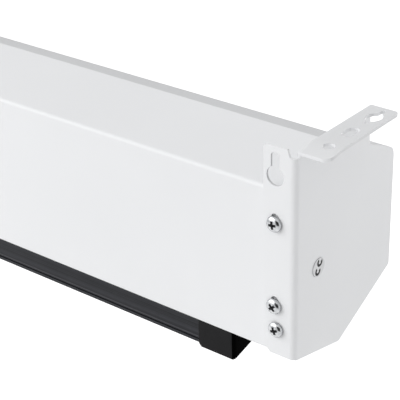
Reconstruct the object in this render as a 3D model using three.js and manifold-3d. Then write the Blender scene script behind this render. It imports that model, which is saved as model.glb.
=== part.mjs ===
// Pull down projector screen in a white sheet steel case, as it hangs on a wall.
// X runs along the case, Y points from the wall into the room and Z is up. The origin is on the
// back panel's outer face, halfway along the case, at the height of the roller's axis.
import * as THREE from 'three';
import { mergeVertices } from 'three/addons/utils/BufferGeometryUtils.js';
import Module from 'manifold-3d';

const wasm = await Module();
wasm.setup();

// Clearances between pieces
const fit = 0.3; // between a piece and what it fits in or seats on
const sheetGap = 0.2; // between the wall flange and the back panel
const overrun = 3; // how far a cutting solid passes through a face

// Screen surface
const imageWidth = 1463;
const imageHeight = 1097;
const sideBorder = 25;
const upperBorder = 45;
const lowerBorder = 35;
const fabricGauge = 0.28; // of one layer on the roll
const fabricSheet = 0.5;
const spareWraps = 120; // length that stays on the tube when the screen is down

// Case shell, one bent steel sheet
const caseSheet = 0.8;
const caseBend = 1.8;
const panelHeight = 90;
const axisHeight = 43.8; // roller axis above the back panel's lower edge
const axisDepth = 18.2; // roller axis in front of the back panel
const flatTopDepth = 59;
const caseDepth = 83.2;
const frontDrop = 8.8; // front top edge below the flat top
const frontFootRise = 15.6; // front lower edge above the back panel's lower edge
const bellyDrop = 7.9; // lowest line of the belly below the back panel's lower edge
const slotWidth = 11;
const lipHeight = 6;

// End plates with their wall flange, front wrap, tab and ceiling strip
const plateSheet = 1.2;
const plateBend = 2;
const foldBend = 3.2; // between the wall flange and the plate
const plateDepth = 86.8;
const plateFootDrop = 0.2; // lower end of the fold below the back panel's lower edge
const plateFrontHeight = 82.2;
const plateFrontFoot = 14.6;
const plateShoulderHeight = 92.9;
const plateCornerRadius = 7;
const keelDepth = 39.9;
const keelDrop = 9.1;
const wrapWidth = 14; // the plate's edge that wraps over the case's front
const wrapFromKeel = 8;
const tabHeight = 114.1;
const tabDepth = 62.8;
const tabFillet = 1.6;
const stripWidth = 16;
const stripCorner = 3;
const flangeWidth = 18.4;
const flangeHeight = 113;
const flangeCorner = 3;
const flangeNotch = 4; // bevel at the flange's lower corner
const reliefWidth = 5; // relief beside the fold at the flange's upper end
const reliefDepth = 4;
const stripRelief = 2.6; // gap between the fold and the ceiling strip's near end

// Holes in the wall flange and the ceiling strip
const keyholeDiameter = 10;
const keyholeSlot = 5;
const keyholeRise = 12.4; // top of the slot above the centre of the round part
const keyholeBelowTop = 15.4;
const keyholeInset = 11.7;
const stripHoleInset = 9.2;
const stripHole = 5.8;
const stripHoleDepth = 12.3;
const stripSlotDepth = 30.4;
const stripSlotLength = 10.8;
const stripKeyholeDepth = 50.9;
const stripKeyholeDiameter = 7.5;
const stripKeyholeLength = 18.6;
const stripKeyholeEnd = 3.6; // width of its two ends

// Screws through the wall flange
const screwHeadDiameter = 8;
const screwHeadHeight = 2.7;
const screwShank = 4;
const screwLength = 8;
const screwTipShare = 0.5; // tip's width to the shank's
const headRimShare = 0.3; // of the head's height, where its rim ends and its dome starts
const headDomeShares = [[0.9, 0.65], [0.6, 0.93]]; // of the head's radius and height
const recessArmShare = 0.52; // of the head's radius
const recessBladeShare = 0.13;
const recessDepthShare = 0.4; // of the head's height
const screwHoleRise = 0.9; // how far a slot shows above its screw's head
const screwInset = 11.7;
const lowerScrewInset = 10.5;
const upperScrewHeight = 72.9;
const middleScrewHeight = 27.8;
const lowerScrewHeight = 14.9;

// Roller, axles, spring and ratchet
const tubeDiameter = 25;
const tubeWall = 0.8;
const tubeInset = 14; // tube's end to the end plate
const axleDiameter = 7;
const axleHead = 9.4;
const axleHeadProud = 0.4;
const axleShoulder = 16;
const axleShoulderWidth = 3;
const springAxleLength = 190;
const idleAxleLength = 34;
const drivePin = 4; // horseshoe shaped pins in an axle's head
const drivePinWall = 0.8;
const drivePinLength = 4;
const drivePinOpening = 110; // degrees that a horseshoe leaves open at its upper side
const drivePinSpacing = 4.6;
const drivePinRise = 0.3; // of the two pins' middle above the axle's axis
const drivePinTilt = 20; // degrees from upright of the line through an axle's two pins
const plugFlange = 31;
const plugFlangeWidth = 3;
const plugSpigotLength = 20;
const ratchetDiameter = 16;
const ratchetWidth = 5;
const ratchetTeeth = 4;
const ratchetToothDepth = 2;
const ratchetFaceShare = 0.0625; // of a tooth's pitch, which its steep face takes
const pawlRise = 10.6; // pawl pivots above and below the roller's axis
const pawlOffset = 5; // and to one side of it
const pawlPin = 3;
const pawlWidth = 4;
const pawlLength = 10;
const pawlHead = 2.7;
const pawlTip = 1.2;
const springDiameter = 17;
const springWire = 1.6;
const springTurns = 24;
const collarLength = 10;
const collarDiameter = 19;
const collarFromEnd = 3; // collar to the spring axle's inner end

// Weight bar, its caps and the fabric's batten
const barWidth = 19.4;
const barHeight = 20.4;
const barBelowLip = 6.8;
const barWall = 1.6;
const barCorner = 2;
const barGrooveHeight = 3.4;
const barGrooveDepth = 1;
const barLipHeight = 1.4;
const barSlot = 3;
const battenDiameter = 5;
const hemSheet = 0.6;
const capLength = 24.2;
const capProud = 0.5;
const capDrop = 2.2;
const capRise = 5.2; // how much the cap's underside rises towards the front
const capPlug = 12;
const capBevel = 1.4;
const capCorner = 2.5; // of its upright edges at the outer end
const capFromPlate = 57; // cap's outer face to the end plate's outer face
const capGap = 1.8; // fabric's edge to the cap
const stopDiameter = 8;
const stopHeight = 4.5;
const stopFromCap = 40;
const stopEdge = 1; // stop's rim to the bar's side
const stopTipShare = 0.5; // tip's width to the foot's
const stopRimShare = 0.5; // rim's height to the stop's

// Pull handle
const bracketLength = 56;
const bracketScrewInset = 5;
const bracketWidth = 15;
const bracketBase = 4;
const earThickness = 5;
const earDrop = 5.5; // pin's axis below the bracket's base
const earRadius = 4.5;
const pinDiameter = 4;
const handleWidth = 66;
const handleHeight = 40;
const handleBar = 9;
const handleThickness = 9;
const handleCorner = 10;
const handleBevel = 1.2;
const handleTongue = 22;
const handleTongueHeight = 10;

// Counts of flats on round shapes
const arcSteps = 4;
const turnSteps = 24;
const tubeSteps = 32;
const coilSteps = 8;
const wireSteps = 3;

// Places worked out from the sizes
const fabricWidth = imageWidth + 2 * sideBorder;
const barLength = fabricWidth + 2 * (capGap + capLength);
const halfCase = barLength / 2 + capFromPlate;
const plateInside = halfCase - plateSheet;
const flangeFace = -(plateSheet + sheetGap);
const panelFoot = -axisHeight;
const caseTop = panelFoot + panelHeight;
const foldFoot = panelFoot - plateFootDrop;
const tubeRadius = tubeDiameter / 2;
const fabricTravel = imageHeight + upperBorder + lowerBorder;
const woundLength = fabricTravel + spareWraps;
const rollRadius = Math.sqrt(tubeRadius ** 2 + (woundLength * fabricGauge) / Math.PI);
const fabricPlane = axisDepth + rollRadius + fit + fabricSheet / 2;
const bellyFoot = panelFoot - bellyDrop;
const barTop = bellyFoot - barBelowLip;
const barFoot = barTop - barHeight;
const barBody = barLength / 2 - capLength;
const tubeEnd = plateInside - tubeInset;
const pinAxis = barFoot - fit - bracketBase - earDrop;
const springEnd = tubeEnd - plugSpigotLength - fit;
const collarFoot = plateInside - springAxleLength + collarFromEnd;
const springLength = springEnd - springWire - (collarFoot + collarLength + fit);

// Paints, metals and plastics
const finishes = {
  paint: { color: 0xe9eaec, roughness: 0.45, metalness: 0 },
  zinc: { color: 0xc4c6c9, roughness: 0.28, metalness: 1 },
  steel: { color: 0x9a9c9f, roughness: 0.4, metalness: 1 },
  spring: { color: 0x6d6e70, roughness: 0.35, metalness: 1 },
  anodized: { color: 0x3c3d40, roughness: 0.42, metalness: 0.3 },
  plastic: { color: 0x2a2a2c, roughness: 0.5, metalness: 0 },
  bearing: { color: 0xd8d6cf, roughness: 0.5, metalness: 0 },
  rubber: { color: 0x1c1c1d, roughness: 0.85, metalness: 0 },
  screen: { color: 0xf1f1ef, roughness: 0.9, metalness: 0 },
  blackout: { color: 0x161617, roughness: 0.85, metalness: 0 },
};

// A closed mesh as a solid that can be joined and cut
function solidOf(geometry) {
  const bare = geometry.clone();
  bare.deleteAttribute('normal');
  bare.deleteAttribute('uv');
  const merged = mergeVertices(bare);
  const vertProperties = new Float32Array(merged.attributes.position.array);
  const triVerts = new Uint32Array(merged.index.array);
  return new wasm.Manifold(new wasm.Mesh({ numProp: 3, vertProperties, triVerts }));
}

// A solid back as a flat shaded mesh
function geometryOf(solid) {
  const mesh = solid.getMesh();
  const geometry = new THREE.BufferGeometry();
  geometry.setAttribute('position', new THREE.BufferAttribute(mesh.vertProperties, mesh.numProp));
  geometry.setIndex(new THREE.BufferAttribute(mesh.triVerts, 1));
  const flat = geometry.toNonIndexed();
  flat.computeVertexNormals();
  return flat;
}

// The same mesh with its faces turned outward
function outward(geometry) {
  const flat = geometry.index ? geometry.toNonIndexed() : geometry.clone();
  const position = flat.attributes.position;
  const corners = [new THREE.Vector3(), new THREE.Vector3(), new THREE.Vector3()];
  let volume = 0;
  for (let i = 0; i < position.count; i += corners.length) {
    corners.forEach((corner, k) => corner.fromBufferAttribute(position, i + k));
    volume += corners[0].dot(corners[1].clone().cross(corners[2]));
  }
  if (volume < 0) {
    for (let i = 0; i < position.count; i += corners.length) {
      corners.forEach((corner, k) => corner.fromBufferAttribute(position, i + k));
      position.setXYZ(i + 1, corners[2].x, corners[2].y, corners[2].z);
      position.setXYZ(i + 2, corners[1].x, corners[1].y, corners[1].z);
    }
  }
  flat.computeVertexNormals();
  return flat;
}

const axisX = new THREE.Vector3(1, 0, 0);
const axisY = new THREE.Vector3(0, 1, 0);
const axisZ = new THREE.Vector3(0, 0, 1);

// Prisms whose outline lies square to the axis that they run along
function prismZ(shape, from, to, steps = arcSteps) {
  const settings = { depth: to - from, bevelEnabled: false, curveSegments: steps };
  return new THREE.ExtrudeGeometry(shape, settings).translate(0, 0, from);
}

function prismX(shape, from, to, steps = arcSteps) {
  const prism = prismZ(shape, 0, to - from, steps);
  prism.applyMatrix4(new THREE.Matrix4().makeBasis(axisY, axisZ, axisX));
  return prism.translate(from, 0, 0);
}

function prismY(shape, from, to, steps = arcSteps) {
  const prism = prismZ(shape, 0, to - from, steps);
  prism.applyMatrix4(new THREE.Matrix4().makeBasis(axisX, axisZ, axisY.clone().negate()));
  return prism.translate(0, to, 0);
}

// A turned piece whose profile of radius and length is spun about X
function turnedX(profile, steps = turnSteps) {
  const points = profile.map(([radius, along]) => new THREE.Vector2(radius, along));
  const lathe = new THREE.LatheGeometry(points, steps);
  lathe.applyMatrix4(new THREE.Matrix4().makeBasis(axisY, axisX, axisZ.clone().negate()));
  return outward(lathe);
}

// A closed outline, with a rounded corner where a point has a third number
function outline(points) {
  const shape = new THREE.Shape();
  const count = points.length;
  points.forEach(([u, v, radius = 0], i) => {
    const here = new THREE.Vector2(u, v);
    const before = new THREE.Vector2(...points[(i + count - 1) % count].slice(0, 2));
    const after = new THREE.Vector2(...points[(i + 1) % count].slice(0, 2));
    const back = before.clone().sub(here).normalize();
    const ahead = after.clone().sub(here).normalize();
    const halfAngle = Math.acos(THREE.MathUtils.clamp(back.dot(ahead), -1, 1)) / 2;
    const reach = radius / Math.tan(halfAngle);
    const start = here.clone().addScaledVector(back, reach);
    const end = here.clone().addScaledVector(ahead, reach);
    if (i === 0) shape.moveTo(start.x, start.y);
    else shape.lineTo(start.x, start.y);
    if (radius > 0) shape.quadraticCurveTo(here.x, here.y, end.x, end.y);
  });
  shape.closePath();
  return shape;
}

// An open path moved to its left by a distance, with mitred corners
function offsetPath(points, distance) {
  const along = points.slice(1).map((point, i) => point.clone().sub(points[i]).normalize());
  const left = along.map((step) => new THREE.Vector2(-step.y, step.x));
  return points.map((point, i) => {
    const first = left[Math.max(i - 1, 0)];
    const second = left[Math.min(i, left.length - 1)];
    const mitre = first.clone().add(second);
    return point.clone().addScaledVector(mitre, distance / (1 + first.dot(second)));
  });
}

// The section of a bent sheet: its outer face follows the path and its bends turn left. A bend
// has the common radius unless its point gives one.
function bentSheet(path, sheet, bend) {
  const outer = path.map(([u, v]) => new THREE.Vector2(u, v));
  const inner = offsetPath(outer, sheet);
  const last = path.length - 1;
  const rounded = (points, less) => points.map((point, i) => {
    const radius = (path[i][2] ?? bend) - less;
    return [point.x, point.y, i > 0 && i < last ? radius : 0];
  });
  return outline([...rounded(outer, 0), ...rounded(inner, sheet).reverse()]);
}

// A ring that is left open round one direction, all angles in radians
function horseshoe(u, v, outer, inner, opening, towards) {
  const start = towards + opening / 2;
  const end = towards + 2 * Math.PI - opening / 2;
  const shape = new THREE.Shape();
  shape.absarc(u, v, outer / 2, start, end, false);
  shape.absarc(u, v, inner / 2, end, start, true);
  return shape;
}

function rectangle(u0, v0, u1, v1, radius = 0) {
  return outline([[u0, v0, radius], [u1, v0, radius], [u1, v1, radius], [u0, v1, radius]]);
}

function disc(u, v, diameter) {
  const shape = new THREE.Shape();
  shape.absarc(u, v, diameter / 2, 0, 2 * Math.PI, false);
  return shape;
}

// A round ended slot between two centres on one line
function slot(u0, v0, u1, v1, width) {
  const along = new THREE.Vector2(u1 - u0, v1 - v0);
  const turn = along.angle();
  const shape = new THREE.Shape();
  shape.absarc(u1, v1, width / 2, turn - Math.PI / 2, turn + Math.PI / 2, false);
  shape.absarc(u0, v0, width / 2, turn + Math.PI / 2, turn + 1.5 * Math.PI, false);
  return shape;
}

const screen = new THREE.Group();

// Adds one named piece with a material of its own
function place(name, finish, geometry) {
  const mesh = new THREE.Mesh(geometry, new THREE.MeshStandardMaterial(finishes[finish]));
  mesh.name = name;
  screen.add(mesh);
  return mesh;
}

// The same piece at the other end of the case
function mirrored(geometry) {
  return outward(geometry.clone().scale(-1, 1, 1));
}

// The screws of one end; the upper two stand in slots, so that the plate can slide up and down
function screwPlaces() {
  return [
    { name: 'upper', x: halfCase - screwInset, z: foldFoot + upperScrewHeight, slotted: true },
    { name: 'middle', x: halfCase - screwInset, z: foldFoot + middleScrewHeight, slotted: true },
    { name: 'lower', x: halfCase - lowerScrewInset, z: foldFoot + lowerScrewHeight, slotted: false },
  ];
}

// Case shell: back panel, flat top, sloped top, front and a belly with the fabric's slot
function caseShell() {
  const half = slotWidth / 2;
  const backSlope = bellyDrop / fabricPlane;
  const frontSlope = (bellyDrop + frontFootRise) / (caseDepth - fabricPlane);
  const path = [
    [fabricPlane + half, bellyFoot + half * frontSlope + lipHeight],
    [fabricPlane + half, bellyFoot + half * frontSlope],
    [caseDepth, panelFoot + frontFootRise],
    [caseDepth, caseTop - frontDrop],
    [flatTopDepth, caseTop],
    [0, caseTop],
    [0, panelFoot],
    [fabricPlane - half, bellyFoot + half * backSlope],
    [fabricPlane - half, bellyFoot + half * backSlope + lipHeight],
  ];
  const end = halfCase - foldBend;
  let shell = solidOf(prismX(bentSheet(path, caseSheet, caseBend), -end, end));
  for (const { x, z } of screwPlaces()) {
    for (const side of [-1, 1]) {
      const hole = disc(side * x, z, screwShank + 2 * fit);
      shell = shell.subtract(solidOf(prismY(hole, -overrun, caseSheet + overrun)));
    }
  }
  place('case_shell', 'paint', geometryOf(shell));
}

// Corners of the end plate round its front, from the keel to the foot of the tab
function plateFrontCorners() {
  return {
    keel: [flangeFace + keelDepth, foldFoot - keelDrop],
    foot: [flangeFace + plateDepth, foldFoot + plateFrontFoot],
    front: [flangeFace + plateDepth, foldFoot + plateFrontHeight],
    shoulder: [flangeFace + tabDepth, foldFoot + plateShoulderHeight],
  };
}

// Outline of the end plate seen from the side, with the tab that carries the ceiling strip
function plateOutline() {
  const tabTop = foldFoot + tabHeight - plateSheet - plateBend;
  const { keel, foot, front, shoulder } = plateFrontCorners();
  return outline([
    [flangeFace, foldFoot],
    [...keel, plateBend],
    [...foot, plateBend],
    [...front, plateCornerRadius],
    [...shoulder, tabFillet],
    [flangeFace + tabDepth, tabTop],
    [flangeFace + stripRelief, tabTop],
    [flangeFace + stripRelief, foldFoot + flangeHeight - reliefDepth],
    [-sheetGap / 2, foldFoot + flangeHeight - reliefDepth],
    [-sheetGap / 2, foldFoot + flangeHeight],
    [flangeFace, foldFoot + flangeHeight],
  ]);
}

// Outline of the wall flange seen from the wall, with the relief beside its fold
function flangeOutline() {
  const outer = halfCase - flangeWidth;
  const top = foldFoot + flangeHeight;
  return outline([
    [outer, foldFoot + flangeNotch],
    [outer + flangeNotch, foldFoot],
    [halfCase + overrun, foldFoot],
    [halfCase + overrun, top - reliefDepth],
    [halfCase - plateSheet, top - reliefDepth],
    [halfCase - reliefWidth + plateSheet, top - reliefDepth, plateSheet],
    [halfCase - reliefWidth, top, plateSheet / 2],
    [outer, top, flangeCorner],
  ]);
}

// The plate's front edge bent inward, which wraps over the case's belly, front and sloped top
function frontWrap() {
  const { keel, foot, front, shoulder } = plateFrontCorners();
  const rise = (foot[1] - keel[1]) / (foot[0] - keel[0]);
  const start = [keel[0] + wrapFromKeel, keel[1] + wrapFromKeel * rise];
  const clear = 2 * tabFillet;
  const fall = (shoulder[1] - front[1]) / (front[0] - shoulder[0]);
  const end = [shoulder[0] + clear, shoulder[1] - clear * fall];
  const path = [start, foot, [...front, plateCornerRadius], end];
  const joined = plateInside + plateSheet / 2;
  return solidOf(prismX(bentSheet(path, plateSheet, plateBend), halfCase - wrapWidth, joined));
}

function wallKeyhole() {
  const x = halfCase - keyholeInset;
  const z = foldFoot + flangeHeight - keyholeBelowTop;
  const top = z + keyholeRise - keyholeSlot / 2;
  const round = prismY(disc(x, z, keyholeDiameter), flangeFace - overrun, overrun, 2 * arcSteps);
  return solidOf(round)
    .add(solidOf(prismY(slot(x, z, x, top, keyholeSlot), flangeFace - overrun, overrun)));
}

// The ceiling strip's hole, slot and double ended keyhole
function stripHoles() {
  const x = halfCase + stripHoleInset;
  const low = foldFoot + tabHeight - plateSheet - overrun;
  const high = foldFoot + tabHeight + overrun;
  const cuts = [
    disc(x, flangeFace + stripHoleDepth, stripHole),
    disc(x, flangeFace + stripKeyholeDepth, stripKeyholeDiameter),
  ];
  const slots = [
    [stripSlotDepth, stripSlotLength, stripHole],
    [stripKeyholeDepth, stripKeyholeLength, stripKeyholeEnd],
  ];
  for (const [centre, length, width] of slots) {
    const reach = (length - width) / 2;
    const y = flangeFace + centre;
    cuts.push(slot(x, y - reach, x, y + reach, width));
  }
  return cuts.map((shape) => solidOf(prismZ(shape, low, high, 2 * arcSteps)));
}

// End plate of one bent sheet: plate, wall flange, tab and ceiling strip
function endPlate() {
  const fold = bentSheet(
    [[halfCase - flangeWidth, flangeFace], [halfCase, flangeFace], [halfCase, flangeFace + plateDepth]],
    plateSheet,
    foldBend,
  );
  const lowest = foldFoot - keelDrop;
  const highest = foldFoot + tabHeight;
  let plate = solidOf(prismZ(fold, lowest, highest));
  plate = plate.intersect(solidOf(prismX(plateOutline(), halfCase - flangeWidth, halfCase + overrun)));
  const behind = solidOf(prismY(flangeOutline(), flangeFace - overrun, flangeFace + foldBend));
  const beside = rectangle(halfCase - plateSheet - foldBend, lowest, halfCase + overrun, highest);
  const ahead = solidOf(prismY(beside, 0, flangeFace + plateDepth + overrun));
  plate = plate.intersect(behind.add(ahead));
  const stripTop = foldFoot + tabHeight;
  const stripFoot = stripTop - 2 * plateBend - plateSheet;
  const bend = bentSheet(
    [[halfCase + stripWidth, stripTop], [plateInside, stripTop], [plateInside, stripFoot]],
    plateSheet,
    plateBend,
  );
  let strip = solidOf(prismY(bend, flangeFace + stripRelief, flangeFace + tabDepth));
  const corners = outline([
    [plateInside, flangeFace + stripRelief],
    [halfCase + stripWidth, flangeFace + stripRelief, stripCorner],
    [halfCase + stripWidth, flangeFace + tabDepth, stripCorner],
    [plateInside, flangeFace + tabDepth],
  ]);
  strip = strip.intersect(solidOf(prismZ(corners, lowest, highest)));
  plate = plate.add(strip).add(frontWrap()).subtract(wallKeyhole());
  for (const hole of stripHoles()) plate = plate.subtract(hole);
  for (const { x, z, slotted } of screwPlaces()) {
    const rise = slotted ? (screwHeadDiameter - screwShank) / 2 + screwHoleRise : fit;
    const opening = slot(x, z, x, z + rise, screwShank + 2 * fit);
    plate = plate.subtract(solidOf(prismY(opening, flangeFace - overrun, overrun)));
  }
  const bore = disc(axisDepth, 0, axleHead + 2 * fit);
  return plate.subtract(solidOf(prismX(bore, plateInside - overrun, halfCase + overrun, tubeSteps)));
}

// Pan head screw with a cross recess, its head towards the wall
function crossScrew() {
  const head = screwHeadDiameter / 2;
  const shank = screwShank / 2;
  const profile = [
    [0, -screwLength],
    [shank * screwTipShare, -screwLength],
    [shank, shank - screwLength],
    [shank, 0],
    [head, 0],
    [head, screwHeadHeight * headRimShare],
    ...headDomeShares.map(([out, up]) => [head * out, screwHeadHeight * up]),
    [0, screwHeadHeight],
  ];
  const points = profile.map(([radius, along]) => new THREE.Vector2(radius, along));
  let screw = solidOf(outward(new THREE.LatheGeometry(points, turnSteps)));
  const arm = head * recessArmShare;
  const blade = head * recessBladeShare;
  const deep = screwHeadHeight * recessDepthShare;
  for (const [u, v] of [[arm, blade], [blade, arm]]) {
    const recess = new THREE.BoxGeometry(2 * u, 2 * (screwHeadHeight - deep), 2 * v);
    screw = screw.subtract(solidOf(recess.translate(0, screwHeadHeight, 0)));
  }
  return geometryOf(screw).rotateX(Math.PI);
}

function screws() {
  const screw = crossScrew();
  for (const { name, x, z } of screwPlaces()) {
    for (const [end, side] of [['right', 1], ['left', -1]]) {
      place(`plate_screw_${name}_${end}`, 'zinc', screw).position.set(side * x, flangeFace - fit, z);
    }
  }
}

// Axle that is held in the end plate by its head and carries one end of the roller
function axle(length) {
  const shoulder = plateInside - fit;
  const foot = shoulder - axleShoulderWidth;
  return turnedX([
    [0, plateInside - length],
    [axleDiameter / 2, plateInside - length],
    [axleDiameter / 2, foot],
    [axleShoulder / 2, foot],
    [axleShoulder / 2, shoulder],
    [axleHead / 2, shoulder],
    [axleHead / 2, halfCase + axleHeadProud],
    [0, halfCase + axleHeadProud],
  ]).translate(0, axisDepth, 0);
}

// Two horseshoe shaped drive pins stand in grooves in each axle's head, one above the other
function pinPlaces() {
  const tilt = THREE.MathUtils.degToRad(drivePinTilt);
  const across = Math.sin(tilt) * drivePinSpacing / 2;
  const rise = Math.cos(tilt) * drivePinSpacing / 2;
  return [
    ['upper', axisDepth + across, drivePinRise + rise],
    ['lower', axisDepth - across, drivePinRise - rise],
  ];
}

function axles() {
  const face = halfCase + axleHeadProud;
  const floor = face - drivePinLength;
  const inner = drivePin - 2 * drivePinWall;
  const opening = THREE.MathUtils.degToRad(drivePinOpening);
  const room = 4 * fit / (drivePin - drivePinWall);
  const towards = Math.PI / 2 - THREE.MathUtils.degToRad(drivePinTilt);
  for (const [name, length, side] of [['spring_axle', springAxleLength, 1], ['idle_axle', idleAxleLength, -1]]) {
    let body = solidOf(axle(length));
    for (const [, y, z] of pinPlaces()) {
      const groove = horseshoe(y, z, drivePin + 2 * fit, inner - 2 * fit, opening - room, towards);
      body = body.subtract(solidOf(prismX(groove, floor, face + overrun, 2 * arcSteps)));
    }
    const geometry = geometryOf(body);
    place(name, 'zinc', side > 0 ? geometry : mirrored(geometry));
  }
  for (const [name, y, z] of pinPlaces()) {
    const section = horseshoe(y, z, drivePin, inner, opening, towards);
    const pin = prismX(section, floor + fit, face, 2 * arcSteps);
    place(`drive_pin_${name}_right`, 'steel', pin);
    place(`drive_pin_${name}_left`, 'steel', mirrored(pin));
  }
}

// End plug of the roller: a flange outside the tube, a spigot in it and a bore for the axle
function rollerPlug() {
  const bore = axleDiameter / 2 + fit;
  const spigot = tubeRadius - tubeWall - fit;
  const outside = tubeEnd + fit + plugFlangeWidth;
  return turnedX([
    [bore, tubeEnd - plugSpigotLength],
    [spigot, tubeEnd - plugSpigotLength],
    [spigot, tubeEnd + fit],
    [plugFlange / 2, tubeEnd + fit],
    [plugFlange / 2, outside],
    [bore, outside],
    [bore, tubeEnd - plugSpigotLength],
  ], tubeSteps).translate(0, axisDepth, 0);
}

function roller() {
  const inner = tubeRadius - tubeWall;
  place('roller_tube', 'steel', turnedX([
    [inner, -tubeEnd],
    [tubeRadius, -tubeEnd],
    [tubeRadius, tubeEnd],
    [inner, tubeEnd],
    [inner, -tubeEnd],
  ], tubeSteps).translate(0, axisDepth, 0));
  place('fabric_roll', 'screen', turnedX([
    [tubeRadius + fit, -fabricWidth / 2],
    [rollRadius, -fabricWidth / 2],
    [rollRadius, fabricWidth / 2],
    [tubeRadius + fit, fabricWidth / 2],
    [tubeRadius + fit, -fabricWidth / 2],
  ], tubeSteps).translate(0, axisDepth, 0));
  place('idle_plug', 'bearing', mirrored(rollerPlug()));
  const face = tubeEnd + fit + plugFlangeWidth;
  let plug = solidOf(rollerPlug());
  for (const side of [-1, 1]) {
    const pin = disc(axisDepth - side * pawlOffset, side * pawlRise, pawlPin);
    plug = plug.add(solidOf(prismX(pin, face - plugFlangeWidth / 2, face + fit + pawlWidth + fit)));
  }
  place('spring_plug', 'bearing', geometryOf(plug));
}

// Ratchet wheel, fixed on the spring axle between the end plate and the roller's plug
function ratchet() {
  const outer = ratchetDiameter / 2;
  const shape = new THREE.Shape();
  const pitch = (2 * Math.PI) / ratchetTeeth;
  const stepsPerTooth = coilSteps / 2;
  for (let tooth = 0; tooth < ratchetTeeth; tooth += 1) {
    for (let step = 0; step <= stepsPerTooth; step += 1) {
      const share = step / stepsPerTooth;
      const angle = (tooth + share * (1 - ratchetFaceShare)) * pitch;
      const radius = outer - ratchetToothDepth * (1 - share);
      const point = [radius * Math.cos(angle), radius * Math.sin(angle)];
      if (tooth === 0 && step === 0) shape.moveTo(...point);
      else shape.lineTo(...point);
    }
  }
  shape.closePath();
  shape.holes.push(disc(0, 0, axleDiameter + 2 * fit));
  const outside = plateInside - 2 * fit - axleShoulderWidth;
  const wheel = prismX(shape, outside - ratchetWidth, outside, 2 * arcSteps);
  place('ratchet_wheel', 'steel', wheel.translate(0, axisDepth, 0));
}

// Pawl that turns on its pin in the plug and drops onto the ratchet wheel
function pawls() {
  const head = pawlHead;
  const face = tubeEnd + 2 * fit + plugFlangeWidth;
  const shape = new THREE.Shape();
  shape.absarc(0, 0, head, Math.PI / 2, 1.5 * Math.PI, false);
  shape.lineTo(pawlLength, -pawlTip);
  shape.lineTo(pawlLength, pawlTip / 2);
  shape.closePath();
  shape.holes.push(disc(0, 0, pawlPin + 2 * fit));
  const lever = prismX(shape, face, face + pawlWidth, 2 * arcSteps);
  place('pawl_upper', 'steel', lever).position.set(0, axisDepth - pawlOffset, pawlRise);
  const lower = place('pawl_lower', 'steel', lever);
  lower.rotation.x = Math.PI;
  lower.position.set(0, axisDepth + pawlOffset, -pawlRise);
}

// Coil spring round the axle inside the tube, as one unbroken wire
class CoilCurve extends THREE.Curve {
  getPoint(share, target = new THREE.Vector3()) {
    const angle = share * springTurns * 2 * Math.PI;
    const radius = (springDiameter - springWire) / 2;
    return target.set(
      (share - 0.5) * springLength,
      radius * Math.cos(angle),
      radius * Math.sin(angle),
    );
  }
}

function springAndCollar() {
  const wire = disc(0, 0, springWire);
  const coil = new THREE.ExtrudeGeometry(wire, {
    steps: springTurns * coilSteps,
    extrudePath: new CoilCurve(),
    curveSegments: wireSteps,
  });
  const centre = springEnd - springWire / 2 - springLength / 2;
  place('torsion_spring', 'spring', outward(coil)).position.set(centre, axisDepth, 0);
  const bore = axleDiameter / 2 + fit;
  place('spring_collar', 'steel', turnedX([
    [bore, collarFoot],
    [collarDiameter / 2, collarFoot],
    [collarDiameter / 2, collarFoot + collarLength],
    [bore, collarFoot + collarLength],
    [bore, collarFoot],
  ]).translate(0, axisDepth, 0));
}

// Weight bar extrusion: a hollow section with a hem slot on top and a groove near each lower edge
function barSection() {
  const half = barWidth / 2;
  const mouth = barSlot / 2;
  const channel = (battenDiameter + 2 * hemSheet) / 2 + 2 * fit;
  const floor = barTop - barWall - 2 * channel;
  const grooveFoot = barFoot + barLipHeight;
  const side = (sign) => [
    [sign * half, barFoot, barCorner / 2],
    [sign * half, grooveFoot],
    [sign * (half - barGrooveDepth), grooveFoot],
    [sign * (half - barGrooveDepth), barFoot + barGrooveHeight],
    [sign * half, barFoot + barGrooveHeight],
    [sign * half, barTop, barCorner],
    [sign * mouth, barTop],
    [sign * mouth, barTop - barWall],
    [sign * channel, barTop - barWall],
    [sign * channel, floor],
  ];
  const shape = outline([...side(1), ...side(-1).reverse()]);
  const chamberTop = floor - barWall;
  const chamberHalf = half - barGrooveDepth - barWall;
  shape.holes.push(rectangle(-chamberHalf, barFoot + barWall, chamberHalf, chamberTop));
  return { shape, chamberTop, chamberHalf };
}

function bracketScrews() {
  const reach = bracketLength / 2 - bracketScrewInset;
  return [reach, -reach];
}

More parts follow.
